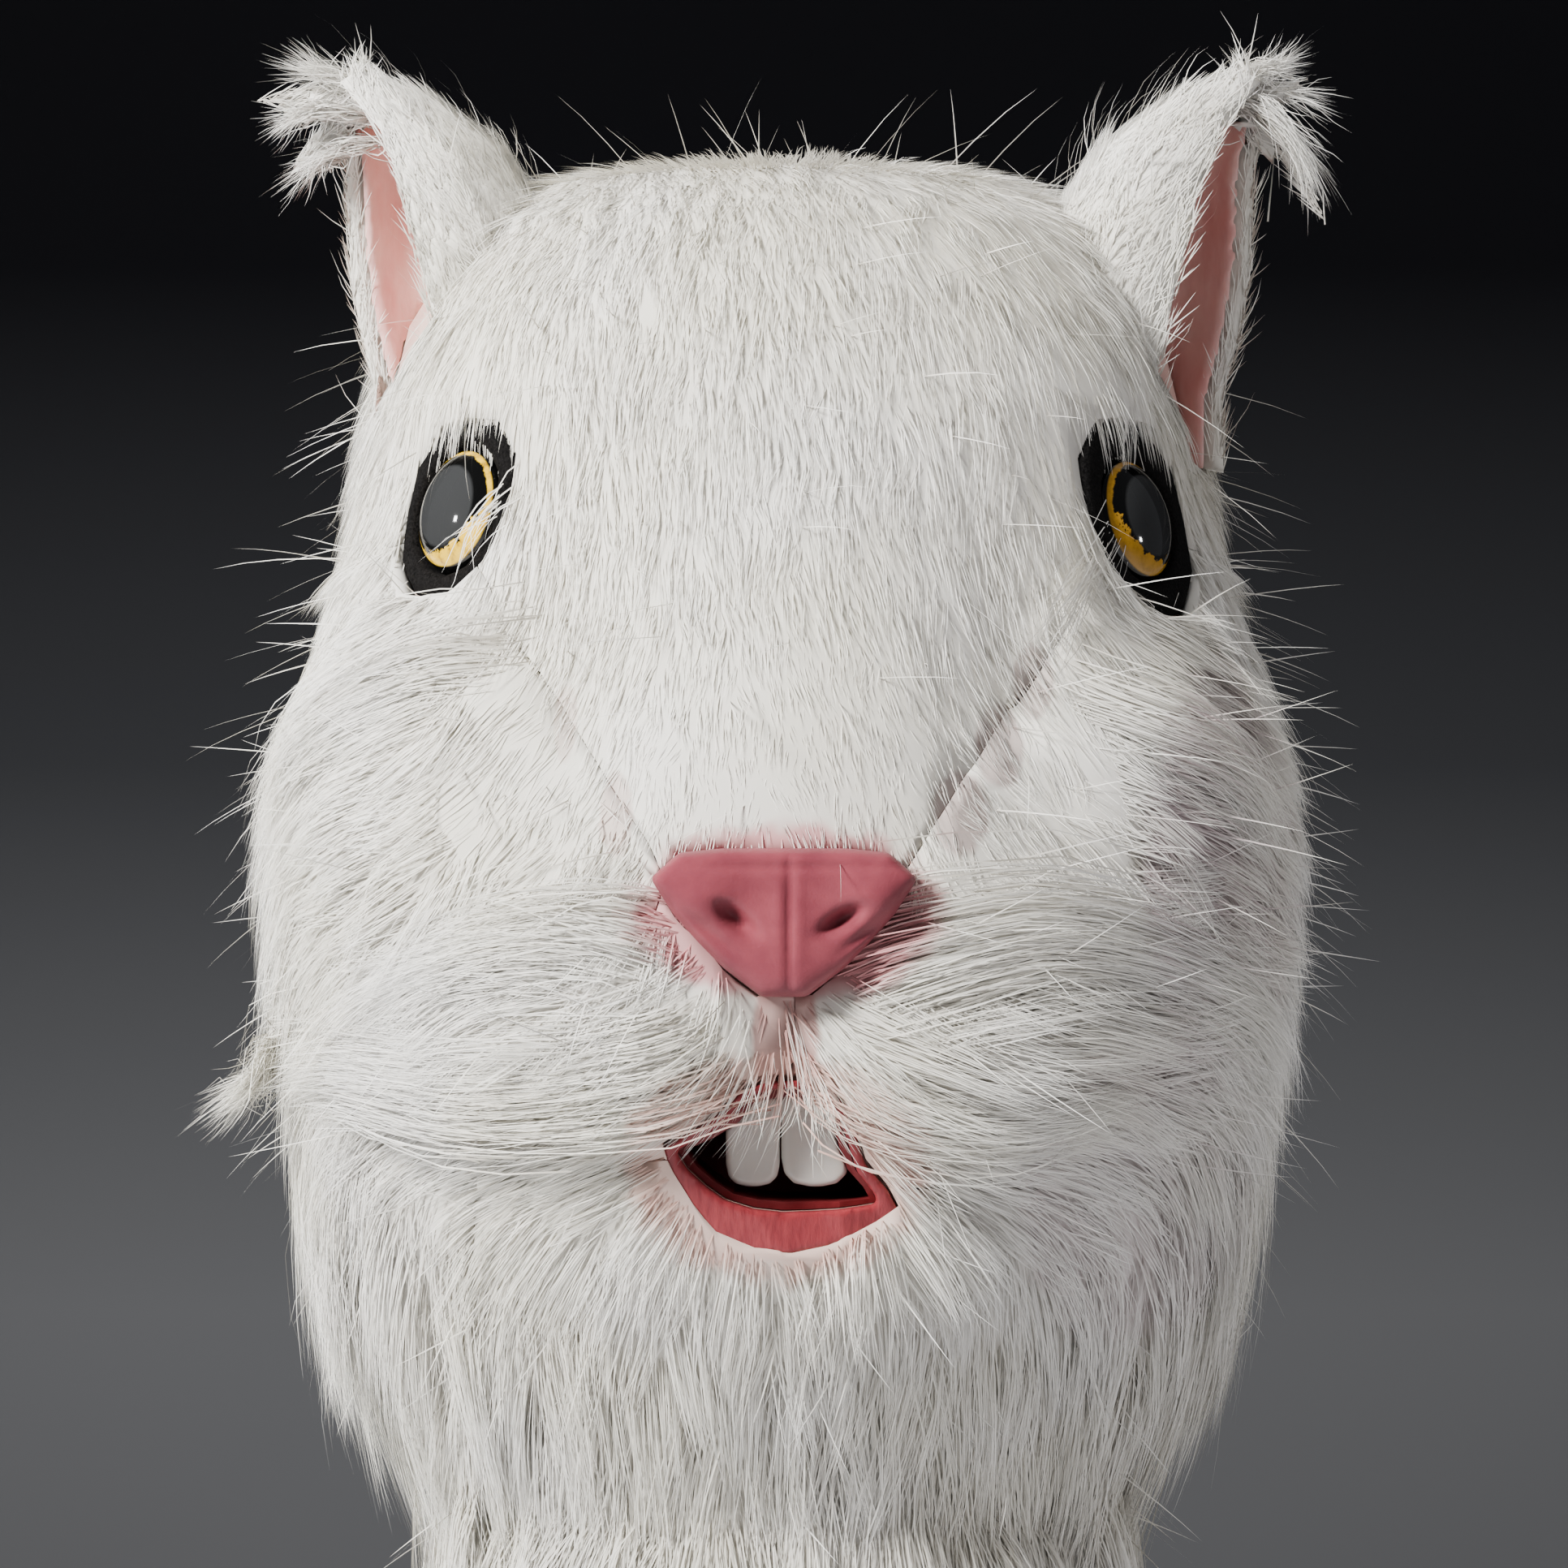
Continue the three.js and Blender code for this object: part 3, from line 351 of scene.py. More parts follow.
def rounded(node, grain, passes, filled=False):
    """A CAD node's form in small even faces, with its edges rounded, and its pits filled if asked."""
    mesh = bpy.data.meshes.new(node + "_form")
    form = node_mesh(node)
    if filled:
        hull = bmesh.ops.convex_hull(form, input=form.verts)
        inside = hull["geom_interior"] + hull["geom_unused"]
        spare = {item for item in inside if isinstance(item, bmesh.types.BMVert)}
        bmesh.ops.delete(form, geom=list(spare), context="VERTS")
    form.to_mesh(mesh)
    form.free()
    piece = bpy.data.objects.new(node + "_form", mesh)
    bpy.context.collection.objects.link(piece)
    even = piece.modifiers.new("even", "REMESH")
    even.mode = "VOXEL"
    even.voxel_size = grain * MM
    smooth = piece.modifiers.new("smooth", "SMOOTH")
    smooth.factor = 0.5
    smooth.iterations = passes
    bpy.ops.object.select_all(action="DESELECT")
    bpy.context.view_layer.objects.active = piece
    for modifier in list(piece.modifiers):
        bpy.ops.object.modifier_apply(modifier=modifier.name)
    return piece


def moulded(node, name, finish, slot, grain, passes):
    """A rounded piece that replaces its node: the grain in mm and how often it is smoothed."""
    piece = rounded(node, grain, passes)
    piece.name = name
    return dress(piece, finish, slot, node)


# Nose: soft matte rose latex with a middle groove and two slanted nostrils
nose_latex = Finish("nose_latex", Roughness=0.5, Specular_IOR_Level=0.35, Subsurface_Weight=0.15)
nose_latex.shader.inputs["Subsurface Radius"].default_value = (0.004, 0.0015, 0.001)
pores = nose_latex.noise(1400, 4.0)
blotch = nose_latex.noise(90, 4.0)
nose_latex.feed("Base Color", nose_latex.ramp(
    blotch, [(0.3, (0.17, 0.034, 0.048)), (0.75, (0.27, 0.058, 0.075))]))
nose_latex.bump(pores, 0.35, 0.00025)
nose_pad = rounded("nose", 0.9, 5, filled=True)
nose_pad.name = "nose_pad"

# What is pressed into the pad and raised on it: across and up from its middle, and the spread
# each way in mm, the lean in degrees, and the push in mm
NOSE_MIDDLE = (0.5, -193.0)
NOSE_FORMS = [
    # name, across, up, spread across, spread up, lean, push
    ("groove", 0.8, -2.0, 0.9, 16.0, 0.0, -1.1),
    ("groove lip left", -1.6, 0.0, 1.4, 14.0, 0.0, 0.4),
    ("groove lip right", 3.2, 0.0, 1.4, 14.0, 0.0, 0.4),
    ("left nostril", -11.5, 0.6, 1.7, 4.6, -50.0, -7.0),
    ("right nostril", 13.0, 0.4, 1.7, 4.3, 60.0, -7.0),
    ("left wing", -18.5, 6.0, 6.0, 5.0, -20.0, 2.6),
    ("right wing", 20.0, 6.0, 6.0, 5.0, 20.0, 2.6),
    ("left wing edge", -18.0, -2.4, 1.1, 6.5, -50.0, -1.4),
    ("right wing edge", 19.0, -2.4, 1.1, 6.5, 55.0, -1.4),
    ("middle", 0.8, -6.0, 7.5, 12.0, 0.0, 1.5),
    ("top edge", 0.5, 12.6, 25.0, 1.0, 0.0, -0.9),
]
for vertex in nose_pad.data.vertices:
    across = vertex.co.x / MM - NOSE_MIDDLE[0]
    above = vertex.co.z / MM - NOSE_MIDDLE[1]
    push = 0.0
    for _, right, high, wide, tall, lean, depth in NOSE_FORMS:
        cos, sin = math.cos(math.radians(lean)), math.sin(math.radians(lean))
        x, z = across - right, above - high
        x, z = x * cos - z * sin, x * sin + z * cos
        push += depth * math.exp(-(x / wide) ** 2 - (z / tall) ** 2)
    facing = max(0.0, -vertex.normal.y)
    vertex.co.y -= push * facing * MM
    seat = hood_tree.ray_cast(Vector((vertex.co.x, -1, vertex.co.z)), Vector((0, 1, 0)))[0]
    if seat is not None:
        vertex.co.y = min(vertex.co.y, seat.y + MM)
dress(nose_pad, nose_latex, "nose_latex", "nose")

# Mouth: red lips round a dark lined pocket, with two resin incisors hanging from the upper gum
lip_latex = Finish("lip_latex", Roughness=0.42, Specular_IOR_Level=0.45, Subsurface_Weight=0.15)
lip_latex.shader.inputs["Subsurface Radius"].default_value = (0.004, 0.001, 0.001)
wrinkle = lip_latex.noise(300, 4.0, stretch=(2.4, 1, 0.7))
lip_latex.feed("Base Color", lip_latex.ramp(
    wrinkle, [(0.3, (0.22, 0.024, 0.032)), (0.75, (0.34, 0.045, 0.053))]))
lip_latex.bump(wrinkle, 0.5, 0.0006)
moulded("lips", "lips_rim", lip_latex, "lip_latex", 0.8, 5)

mouth_latex = Finish("mouth_latex", Roughness=0.5, Specular_IOR_Level=0.4)
gum = mouth_latex.noise(160, 3.0)
mouth_latex.feed("Base Color", mouth_latex.ramp(
    gum, [(0.3, (0.13, 0.012, 0.015)), (0.75, (0.22, 0.03, 0.034))]))
mouth_latex.bump(gum, 0.4, 0.001)
set_finish(bpy.data.objects["mouth_lining"], mouth_latex)

tooth_resin = Finish("tooth_resin", Roughness=0.22, Specular_IOR_Level=0.5, Subsurface_Weight=0.25)
tooth_resin.shader.inputs["Subsurface Radius"].default_value = (0.003, 0.0025, 0.002)
stain = tooth_resin.noise(120, 3.0, stretch=(1, 1, 0.3))
tooth_resin.feed("Base Color", tooth_resin.ramp(
    stain, [(0.3, (0.66, 0.62, 0.55)), (0.75, (0.80, 0.78, 0.73))]))
for side in ("left", "right"):
    moulded(side + "_tooth", side + "_incisor", tooth_resin, "tooth_resin", 0.6, 7)

# Ears: thin pink latex scoops, bare inside
ear_latex = Finish("ear_latex", Roughness=0.55, Specular_IOR_Level=0.35, Subsurface_Weight=0.3)
ear_latex.shader.inputs["Subsurface Radius"].default_value = (0.006, 0.002, 0.0015)
vein = ear_latex.noise(120, 4.0, stretch=(1, 1, 0.4))
ear_latex.feed("Base Color", ear_latex.ramp(vein, [(0.3, (0.72, 0.36, 0.33)), (0.75, (0.86, 0.60, 0.55))]))
ear_latex.bump(vein, 0.4, 0.0012)
for side in ("left", "right"):
    moulded(side + "_ear", side + "_ear_scoop", ear_latex, "ear_latex", 1.5, 4)


# Fur: white synthetic pile glued on in panels. Each panel is a dense undercoat that follows the
# latex, and strands that are combed over it and gathered into locks.
fur = Finish("white_fur", Roughness=0.6, Specular_IOR_Level=0.25)
strand_uv = fur.node("ShaderNodeUVMap", {"uv_map": "strand"}, {}, "UV")
along = fur.node("ShaderNodeSeparateXYZ", {}, {"Vector": strand_uv}, "X")
tone = fur.node("ShaderNodeSeparateXYZ", {}, {"Vector": strand_uv}, "Y")
patch = fur.noise(18, 1.0)
# Strands darken towards their roots: painted shade deep in the pile between the strands, with a warmer tone
# there
root_shade_to_tip = fur.ramp(
    along, [(0.0, (0.60, 0.57, 0.52)), (0.35, (0.85, 0.83, 0.785)), (1.0, (0.94, 0.93, 0.905))])
warm = fur.ramp(patch, [(0.35, (0.96, 0.95, 0.90)), (0.65, (1.0, 1.0, 1.0))])
coat_colour = fur.mix(1.0, root_shade_to_tip, warm, "MULTIPLY")
pale = fur.ramp(tone, [(0.0, (0.86, 0.85, 0.83)), (0.5, (1.0, 1.0, 1.0))])
coat_colour = fur.mix(1.0, coat_colour, pale, "MULTIPLY")

# Where the pile is thin and the skin colour shows between its roots round the nose and mouth, and painted
# shade in the creases beside the bridge and over the shaded right cheek and jaw: the middle and the spread
# across and up in mm, how strongly, and the colour
SKIN_AND_PAINTED_SHADE = [
    # name, across, up, spread across, spread up, strength, colour
    ("round the nose", 0.5, -191, 36, 20, 1.0, (0.56, 0.24, 0.25)),
    ("philtrum", 0.5, -222, 8, 20, 0.95, (0.42, 0.22, 0.20)),
    ("round the mouth", -2, -252, 36, 27, 0.8, (0.62, 0.36, 0.30)),
    # Painted shade: the creases beside the bridge darkened where shade falls, with a pink-brown skin tone
    # in the left one
    ("right crease, top", 61, -136, 5, 9, 0.7, (0.36, 0.27, 0.26)),
    ("right crease, middle", 52, -152, 6, 10, 0.8, (0.34, 0.25, 0.24)),
    ("right crease, foot", 42, -168, 7, 10, 0.8, (0.34, 0.24, 0.23)),
    ("left crease, top", -53, -146, 3, 9, 0.5, (0.52, 0.38, 0.34)),
    ("left crease, foot", -40, -168, 4, 10, 0.6, (0.52, 0.36, 0.33)),
    # Painted shade on the right side, which faces away from the key, mixed with the mauve skin that shows
    # there
    ("right cheek", 112, -185, 24, 52, 0.75, (0.50, 0.38, 0.41)),
    ("right jaw", 92, -262, 34, 40, 0.5, (0.62, 0.52, 0.54)),
]
spots = {axis: fur.node("ShaderNodeSeparateXYZ", {}, {"Vector": fur.place}, axis) for axis in "XYZ"}
face_share = fur.node("ShaderNodeMapRange", {}, {"Value": spots["Y"], "From Min": 0.03, "From Max": -0.01})
ragged = (fur.noise(140, 1.0) - 0.5) * 0.8
root_share = fur.node("ShaderNodeMapRange", {}, {"Value": along, "From Min": 0.75, "From Max": 0.15})
skin_and_shade_share = root_share * face_share
for _, across, up, wide, tall, strength, colour in SKIN_AND_PAINTED_SHADE:
    aside = (spots["X"] - across * MM) * (1 / (wide * MM))
    above = (spots["Z"] - up * MM) * (1 / (tall * MM))
    far = aside * aside + above * above
    near = fur.node("ShaderNodeMapRange", {"interpolation_type": "SMOOTHSTEP"},
                    {"Value": far + ragged, "From Min": 1.3, "From Max": 0.75,
                     "To Min": 0.0, "To Max": strength})
    coat_colour = fur.mix(near * skin_and_shade_share, coat_colour, colour)
fur.feed("Base Color", coat_colour)

# How the pile is combed: at a turn in degrees and a height in mm, the strands run round the head
# and down it by these shares, with a length in mm and a lift off the skin
COMB = [
    # turn, height, around, down, length, lift
    (0, 12, 0.0, 1.0, 17, 0.35), (-40, 5, 0.1, 1.0, 17, 0.35), (40, 5, -0.1, 1.0, 17, 0.35),
    (0, -50, 0.0, 1.0, 15, 0.28), (-28, -50, 0.12, 1.0, 16, 0.28), (28, -50, -0.12, 1.0, 16, 0.28),
    (0, -100, 0.0, 1.0, 16, 0.22), (-16, -105, 0.28, 1.0, 18, 0.25), (16, -105, -0.28, 1.0, 18, 0.25),
    (0, -132, 0.0, 1.0, 9, 0.2), (0, -148, 0.0, 1.0, 4, 0.22), (0, -166, 0.0, 1.0, 3, 0.25),
    (-10, -150, 0.2, 1.0, 7, 0.2), (10, -150, -0.2, 1.0, 7, 0.2), (-8, -166, 0.1, 1.0, 3, 0.25),
    (8, -166, -0.1, 1.0, 3, 0.25), (-60, -45, 0.0, 1.0, 16, 0.35), (60, -45, 0.0, 1.0, 16, 0.35),
    (-92, -50, -0.1, 1.0, 18, 0.4), (92, -50, 0.1, 1.0, 18, 0.4), (-64, -100, -0.2, 1.0, 16, 0.3),
    (64, -100, 0.2, 1.0, 16, 0.3), (-22, -158, -0.9, 0.5, 20, 0.28), (22, -158, 0.9, 0.5, 22, 0.3),
    (-40, -145, -1.0, 0.45, 26, 0.32), (40, -145, 0.9, 0.6, 26, 0.32), (-42, -190, -0.9, 0.5, 32, 0.3),
    (42, -188, 0.9, 0.4, 30, 0.3), (-70, -150, -0.6, 0.9, 30, 0.45), (70, -150, 0.5, 0.9, 28, 0.42),
    (-75, -205, -0.35, 1.0, 36, 0.45), (75, -205, 0.3, 1.0, 34, 0.4), (-9, -216, -1.0, 0.2, 28, 0.25),
    (8, -212, 1.0, 0.0, 30, 0.3), (-26, -222, -1.0, 0.25, 36, 0.3), (22, -212, 1.0, -0.15, 44, 0.35),
    (40, -210, 1.0, 0.15, 46, 0.38), (-46, -232, -0.9, 0.5, 38, 0.35), (56, -222, 0.6, 0.8, 44, 0.45),
    (-26, -250, -1.0, 0.1, 26, 0.12), (26, -248, 1.0, 0.15, 32, 0.15), (0, -288, 0.0, 1.0, 18, 0.25),
    (-24, -290, -0.35, 1.0, 26, 0.3), (24, -290, 0.3, 1.0, 26, 0.3), (0, -322, 0.0, 1.0, 52, 0.55),
    (-30, -322, -0.3, 1.0, 58, 0.55), (30, -322, 0.25, 1.0, 58, 0.55), (-60, -265, -0.1, 1.0, 54, 0.42),
    (60, -265, 0.1, 1.0, 52, 0.40), (-85, -285, 0.0, 1.0, 60, 0.5), (85, -285, 0.0, 1.0, 58, 0.5),
    (0, -355, 0.0, 1.0, 45, 0.2), (-60, -350, 0.0, 1.0, 48, 0.25), (60, -350, 0.0, 1.0, 48, 0.25),
    (180, -60, 0.0, 1.0, 22, 0.35), (-130, -120, 0.0, 1.0, 26, 0.35), (130, -120, 0.0, 1.0, 26, 0.35),
    (180, -200, 0.0, 1.0, 32, 0.3), (-125, -220, 0.0, 1.0, 34, 0.32), (125, -220, 0.0, 1.0, 34, 0.32),
    (180, -310, 0.0, 1.0, 50, 0.28), (-120, -310, 0.0, 1.0, 52, 0.3), (120, -310, 0.0, 1.0, 52, 0.3),
]
COMB_TURN = 15.0
COMB_HEIGHT = 24.0


def combed(points):
    """The comb's share around and down, the length and the lift at each point."""
    turn = np.degrees(np.arctan2(points[:, 0], -points[:, 1]))
    height = points[:, 2] / MM
    rows = np.array(COMB, dtype=float)
    gap = (turn[:, None] - rows[None, :, 0] + 180) % 360 - 180
    far = (gap / COMB_TURN) ** 2 + ((height[:, None] - rows[None, :, 1]) / COMB_HEIGHT) ** 2
    far -= far.min(axis=1, keepdims=True)
    weight = np.exp(-0.7 * far)
    weight /= weight.sum(axis=1, keepdims=True)
    mixed = weight @ rows[:, 2:]
    return mixed[:, 0], mixed[:, 1], mixed[:, 2] * MM, mixed[:, 3]


def unit(vectors):
    return vectors / np.maximum(np.linalg.norm(vectors, axis=1, keepdims=True), 1e-9)


# Smooth normals of the latex, blended from its nearest corners
corner_tree = KDTree(len(hood_mesh.verts))
outer_corners = []
for vertex in hood_mesh.verts:
    axis_gap = Vector((vertex.co.x, vertex.co.y, 0))
    if vertex.normal.dot(axis_gap) > 0 or vertex.co.z > -0.02 and vertex.normal.z > 0:
        corner_tree.insert(vertex.co, len(outer_corners))
        outer_corners.append(vertex.normal.copy())
corner_tree.balance()

# The height of the latex rim, the thinnest undercoat that carries strands, and how much they
# follow the undercoat's own faces rather than the smooth latex
RIM_HEIGHT = -0.340
LEAST_PILE = 0.0009
LOCAL_SHARE = 0.6


def smooth_normal(point):
    total = Vector()
    for _, index, distance in corner_tree.find_n(point, 5):
        total += outer_corners[index] / (distance * distance + 4e-5)
    return total.normalized()


def under(spot):
    """The place of the latex under a spot of the coat; past the rim the latex runs on straight down."""
    if spot.z > RIM_HEIGHT:
        near = hood_tree.find_nearest(spot)[0]
        return near, smooth_normal(near)
    near = hood_tree.find_nearest(Vector((spot.x, spot.y, RIM_HEIGHT)))[0]
    normal = smooth_normal(near)
    return Vector((near.x, near.y, spot.z)), Vector((normal.x, normal.y, 0)).normalized()


def rooted(coat, skin, count, back_share, rng):
    """Roots spread evenly over the outer side of an undercoat, with the skin's normal at each."""
    points, faces, _ = coat
    skin_normals, heights = skin
    corners = points[faces]
    edge_a, edge_b = corners[:, 1] - corners[:, 0], corners[:, 2] - corners[:, 0]
    turned = np.cross(edge_a, edge_b)
    area = np.linalg.norm(turned, axis=1) / 2
    turned = unit(turned)
    chance = area * np.where(corners.mean(axis=1)[:, 1] < 0.02, 1.0, back_share)
    chance *= heights[faces].mean(axis=1) > LEAST_PILE
    picks = rng.choice(len(area), size=count, p=chance / chance.sum())
    u, v = rng.random(count), rng.random(count)
    flip = u + v > 1
    u[flip], v[flip] = 1 - u[flip], 1 - v[flip]
    shares = np.stack([1 - u - v, u, v], axis=1)
    roots = (corners[picks] * shares[:, :, None]).sum(axis=1)
    normals = (skin_normals[faces[picks]] * shares[:, :, None]).sum(axis=1)
    local = turned[picks]
    local *= np.sign((local * normals).sum(axis=1, keepdims=True))
    return roots, unit(unit(normals) + local * LOCAL_SHARE)


def strands_mesh(paths, widths, facing, tones):
    """Ribbons along the paths (strand, step, xyz), each closing to a point at its tip."""
    count, steps, _ = paths.shape
    along = np.gradient(paths, axis=1)
    across = np.cross(along, facing[:, None, :])
    across /= np.maximum(np.linalg.norm(across, axis=2, keepdims=True), 1e-9)
    share = np.linspace(0, 1, steps)
    half = widths[:, None] * (1 - share[None, :] ** 1.6) / 2
    left = paths + across * half[:, :, None]
    right = paths - across * half[:, :, None]
    ring = np.stack([left[:, :-1], right[:, :-1]], axis=2).reshape(count, -1, 3)
    points = np.concatenate([ring, paths[:, -1:, :]], axis=1)
    per = points.shape[1]
    base = np.arange(count)[:, None] * per
    faces = []
    for step in range(steps - 2):
        a = 2 * step
        faces.append(base + np.array([a, a + 1, a + 3]))
        faces.append(base + np.array([a, a + 3, a + 2]))
    a = 2 * (steps - 2)
    faces.append(base + np.array([a, a + 1, a + 2]))
    faces = np.concatenate(faces, axis=0)
    level = np.append(np.repeat(share[:-1], 2), 1.0)
    uv = np.stack([np.tile(level, (count, 1)), np.repeat(tones[:, None], per, axis=1)], axis=2)
    return points.reshape(-1, 3), faces, uv.reshape(-1, 2)


def fur_piece(name, points, faces, uv, *nodes):
    mesh = bpy.data.meshes.new(name)
    mesh.vertices.add(len(points))
    mesh.vertices.foreach_set("co", points.astype(np.float32).ravel())
    mesh.loops.add(faces.size)
    mesh.loops.foreach_set("vertex_index", faces.astype(np.int32).ravel())
    mesh.polygons.add(len(faces))
    mesh.polygons.foreach_set("loop_start", np.arange(0, faces.size, 3, dtype=np.int32))
    layer = mesh.uv_layers.new(name="strand")
    layer.data.foreach_set("uv", uv[faces.ravel()].astype(np.float32).ravel())
    mesh.update(calc_edges=True)
    mesh.validate()
    piece = bpy.data.objects.new(name, mesh)
    bpy.context.collection.objects.link(piece)
    return dress(piece, fur, "white_fur", *nodes)


# A panel's undercoat: its own form drawn in towards the latex, to this share of its height and no
# more than this in metres
UNDERCOAT = 0.50
MOST_UNDERCOAT = 0.0075


def undercoat(node):
    """The undercoat's points, triangles and UV, and the latex normal and the height at each point."""
    panel = node_mesh(node)
    bmesh.ops.triangulate(panel, faces=panel.faces)
    bmesh.ops.subdivide_edges(panel, edges=panel.edges, cuts=1, use_grid_fill=True)
    bmesh.ops.triangulate(panel, faces=panel.faces)
    normals, heights = [], []
    for vertex in panel.verts:
        near, normal = under(vertex.co)
        away = vertex.co - near
        vertex.co = near + away * min(UNDERCOAT, MOST_UNDERCOAT / max(away.length, MM))
        normals.append(normal[:])
        heights.append((vertex.co - near).dot(normal))
    points = np.array([v.co[:] for v in panel.verts])
    faces = np.array([[v.index for v in face.verts] for face in panel.faces])
    panel.free()
    # The undercoat takes the darker root colour: painted shade in the gaps between the strands
    uv = np.tile([0.25, 0.5], (len(points), 1))
    return (points, faces, uv), (np.array(normals), np.array(heights))


PANELS = [
    # node, strands, share at the back, segments, width in mm, lock spacing in mm, gathering,
    # how unevenly the locks lie, share of stray hairs
    ("crown_fur", 29500, 0.28, 3, 0.36, 6.0, 0.30, 0.11, 0.008),
    ("left_cheek_fur", 13500, 0.5, 4, 0.40, 8.0, 0.50, 0.20, 0.010),
    ("right_cheek_fur", 13000, 0.5, 4, 0.40, 8.0, 0.60, 0.30, 0.014),
    ("left_muzzle_fur", 10300, 0.5, 4, 0.40, 7.0, 0.50, 0.18, 0.012),
    ("right_muzzle_fur", 9900, 0.5, 4, 0.40, 8.0, 0.55, 0.18, 0.012),
    ("chin_fur", 14800, 0.5, 4, 0.42, 6.5, 0.50, 0.14, 0.006),
    ("nape_fur", 5600, 1.0, 3, 0.60, 9.0, 0.55, 0.18, 0.008),
    ("neck_ruff", 12400, 0.55, 4, 0.50, 9.0, 0.62, 0.18, 0.010),
]
SHORT_SHARE = 0.35
STRAND_BEND = 0.12
STRAND_SAG = 2.2
ROOT_DEPTH = 0.0004
FRIZZ = 0.003

# No strand reaches below the lowest tips of the panels, and stray hairs lie flatter at the back
LOWEST_TIP = -0.404
SHORTEST_TIP = 0.012
BACK_FROM = 0.08
FLAT_SHARE = 0.6


def strands(coat, skin, count, back_share, segments, width, spacing, gathering, wave, stray, rng):
    """Combed strands over an undercoat, each drawn to the nearest guide strand of its lock."""
    roots, normals = rooted(coat, skin, count, back_share, rng)
    number = len(roots)
    around, down, length, lift = combed(roots)
    up = np.tile([0.0, 0.0, 1.0], (number, 1))
    side = unit(np.cross(up, normals) + [1e-5, 0, 0])
    fall = -unit(np.cross(normals, side))
    comb = unit(side * around[:, None] + fall * down[:, None])
    guides = max(12, int(number * (1.2 / spacing) ** 2))
    tree = KDTree(guides)
    for index in range(guides):
        tree.insert(Vector(roots[index]), index)
    tree.balance()
    lock_of = np.array([tree.find(Vector(root))[1] for root in roots])
    wander = rng.normal(0, wave, number)[lock_of] + rng.normal(0, wave / 2, number)
    reach = length * rng.uniform(0.75, 1.2, number) * (0.85 + 0.3 * rng.random(number))[lock_of]
    short = rng.random(number) < SHORT_SHARE
    reach[short] *= rng.uniform(0.45, 0.7, short.sum())
    rise = lift * rng.uniform(0.6, 1.3, number)
    wild = rng.random(number) < stray
    wander[wild] += rng.normal(0, 0.9, wild.sum())
    rise[wild] = rng.uniform(0.6, 1.6, wild.sum()) * np.where(roots[wild, 1] > BACK_FROM, FLAT_SHARE, 1)
    reach[wild] = rng.uniform(0.012, 0.024, wild.sum())
    comb = unit(comb + np.cross(normals, comb) * wander[:, None])
    t = np.linspace(0, 1, segments + 1)[None, :, None]
    reach = np.minimum(reach, np.maximum(roots[:, 2] - LOWEST_TIP, SHORTEST_TIP))
    run = reach[:, None, None] * t
    start = roots - normals * ROOT_DEPTH
    curve = run * rise[:, None, None] - run * run / (2 * STRAND_BEND)
    top = np.where(wild, 0.05, reach * 0.28 + 0.001)[:, None, None]
    curve = top * np.tanh(curve / top)
    paths = start[:, None, :] + comb[:, None, :] * run + normals[:, None, :] * curve
    paths[:, :, 2:3] -= run * run * np.where(wild, 0.0, STRAND_SAG)[:, None, None]
    tips = paths[lock_of] + (start - start[lock_of])[:, None, :] * 0.25
    pull = gathering * t ** 1.5 * rng.uniform(0.5, 1.0, number)[:, None, None]
    pull = pull * np.where(wild, 0.0, 1.0)[:, None, None]
    paths = paths * (1 - pull) + tips * pull
    facing = unit(normals + rng.normal(0, 0.3, normals.shape))
    widths = width * MM * rng.uniform(0.7, 1.2, number)
    return strands_mesh(paths, widths, facing, rng.random(number))


# Tresses: long combed locks that lie over the coat, each along its own middle line: across, up
# and the height over the latex in mm, from its root to its tip
TRESSES = [
    # node, strands, width, thickness, how far up the line the roots spread, middle line
    ("right_muzzle_fur", 2400, 34, 5, 0.6, [(8, -214, 7), (30, -206, 11), (58, -201, 14), (84, -205, 15),
                                            (104, -217, 16), (114, -241, 17)]),
    ("right_muzzle_fur", 1100, 24, 5, 0.6, [(9, -219, 6), (28, -232, 10), (52, -238, 12), (78, -232, 13)]),
    ("left_muzzle_fur", 2000, 36, 5, 0.6, [(-7, -215, 6), (-34, -224, 10), (-68, -230, 13), (-98, -229, 15),
                                           (-118, -238, 15)]),
    ("left_muzzle_fur", 1200, 28, 5, 0.6, [(-17, -207, 7), (-42, -200, 10), (-68, -202, 13),
                                           (-96, -214, 14)]),
    ("left_muzzle_fur", 420, 26, 10, 0.5, [(-96, -218, 12), (-120, -228, 16), (-140, -239, 18),
                                           (-155, -252, 18)]),
    ("crown_fur", 22, 20, 5, 0.4, [(-54, -76, 8), (-66, -96, 10), (-80, -118, 11)]),
    ("crown_fur", 90, 28, 7, 0.5, [(74, -58, 8), (76, -88, 11), (66, -120, 11), (56, -142, 9)]),
    ("left_cheek_fur", 700, 34, 5, 0.6, [(-54, -134, 6), (-84, -140, 12), (-110, -156, 15),
                                         (-122, -184, 15)]),
    ("right_cheek_fur", 500, 30, 6, 0.6, [(56, -138, 6), (82, -152, 12), (102, -162, 14), (116, -184, 14)]),
    ("neck_ruff", 500, 26, 8, 0.5, [(98, -258, 12), (108, -296, 20), (106, -340, 28)]),
    ("neck_ruff", 800, 34, 8, 0.5, [(-112, -252, 12), (-120, -290, 20), (-114, -335, 28)]),
]
TRESS_SEGMENTS = 6
TRESS_STRAND = 0.42
BURIED = 0.007


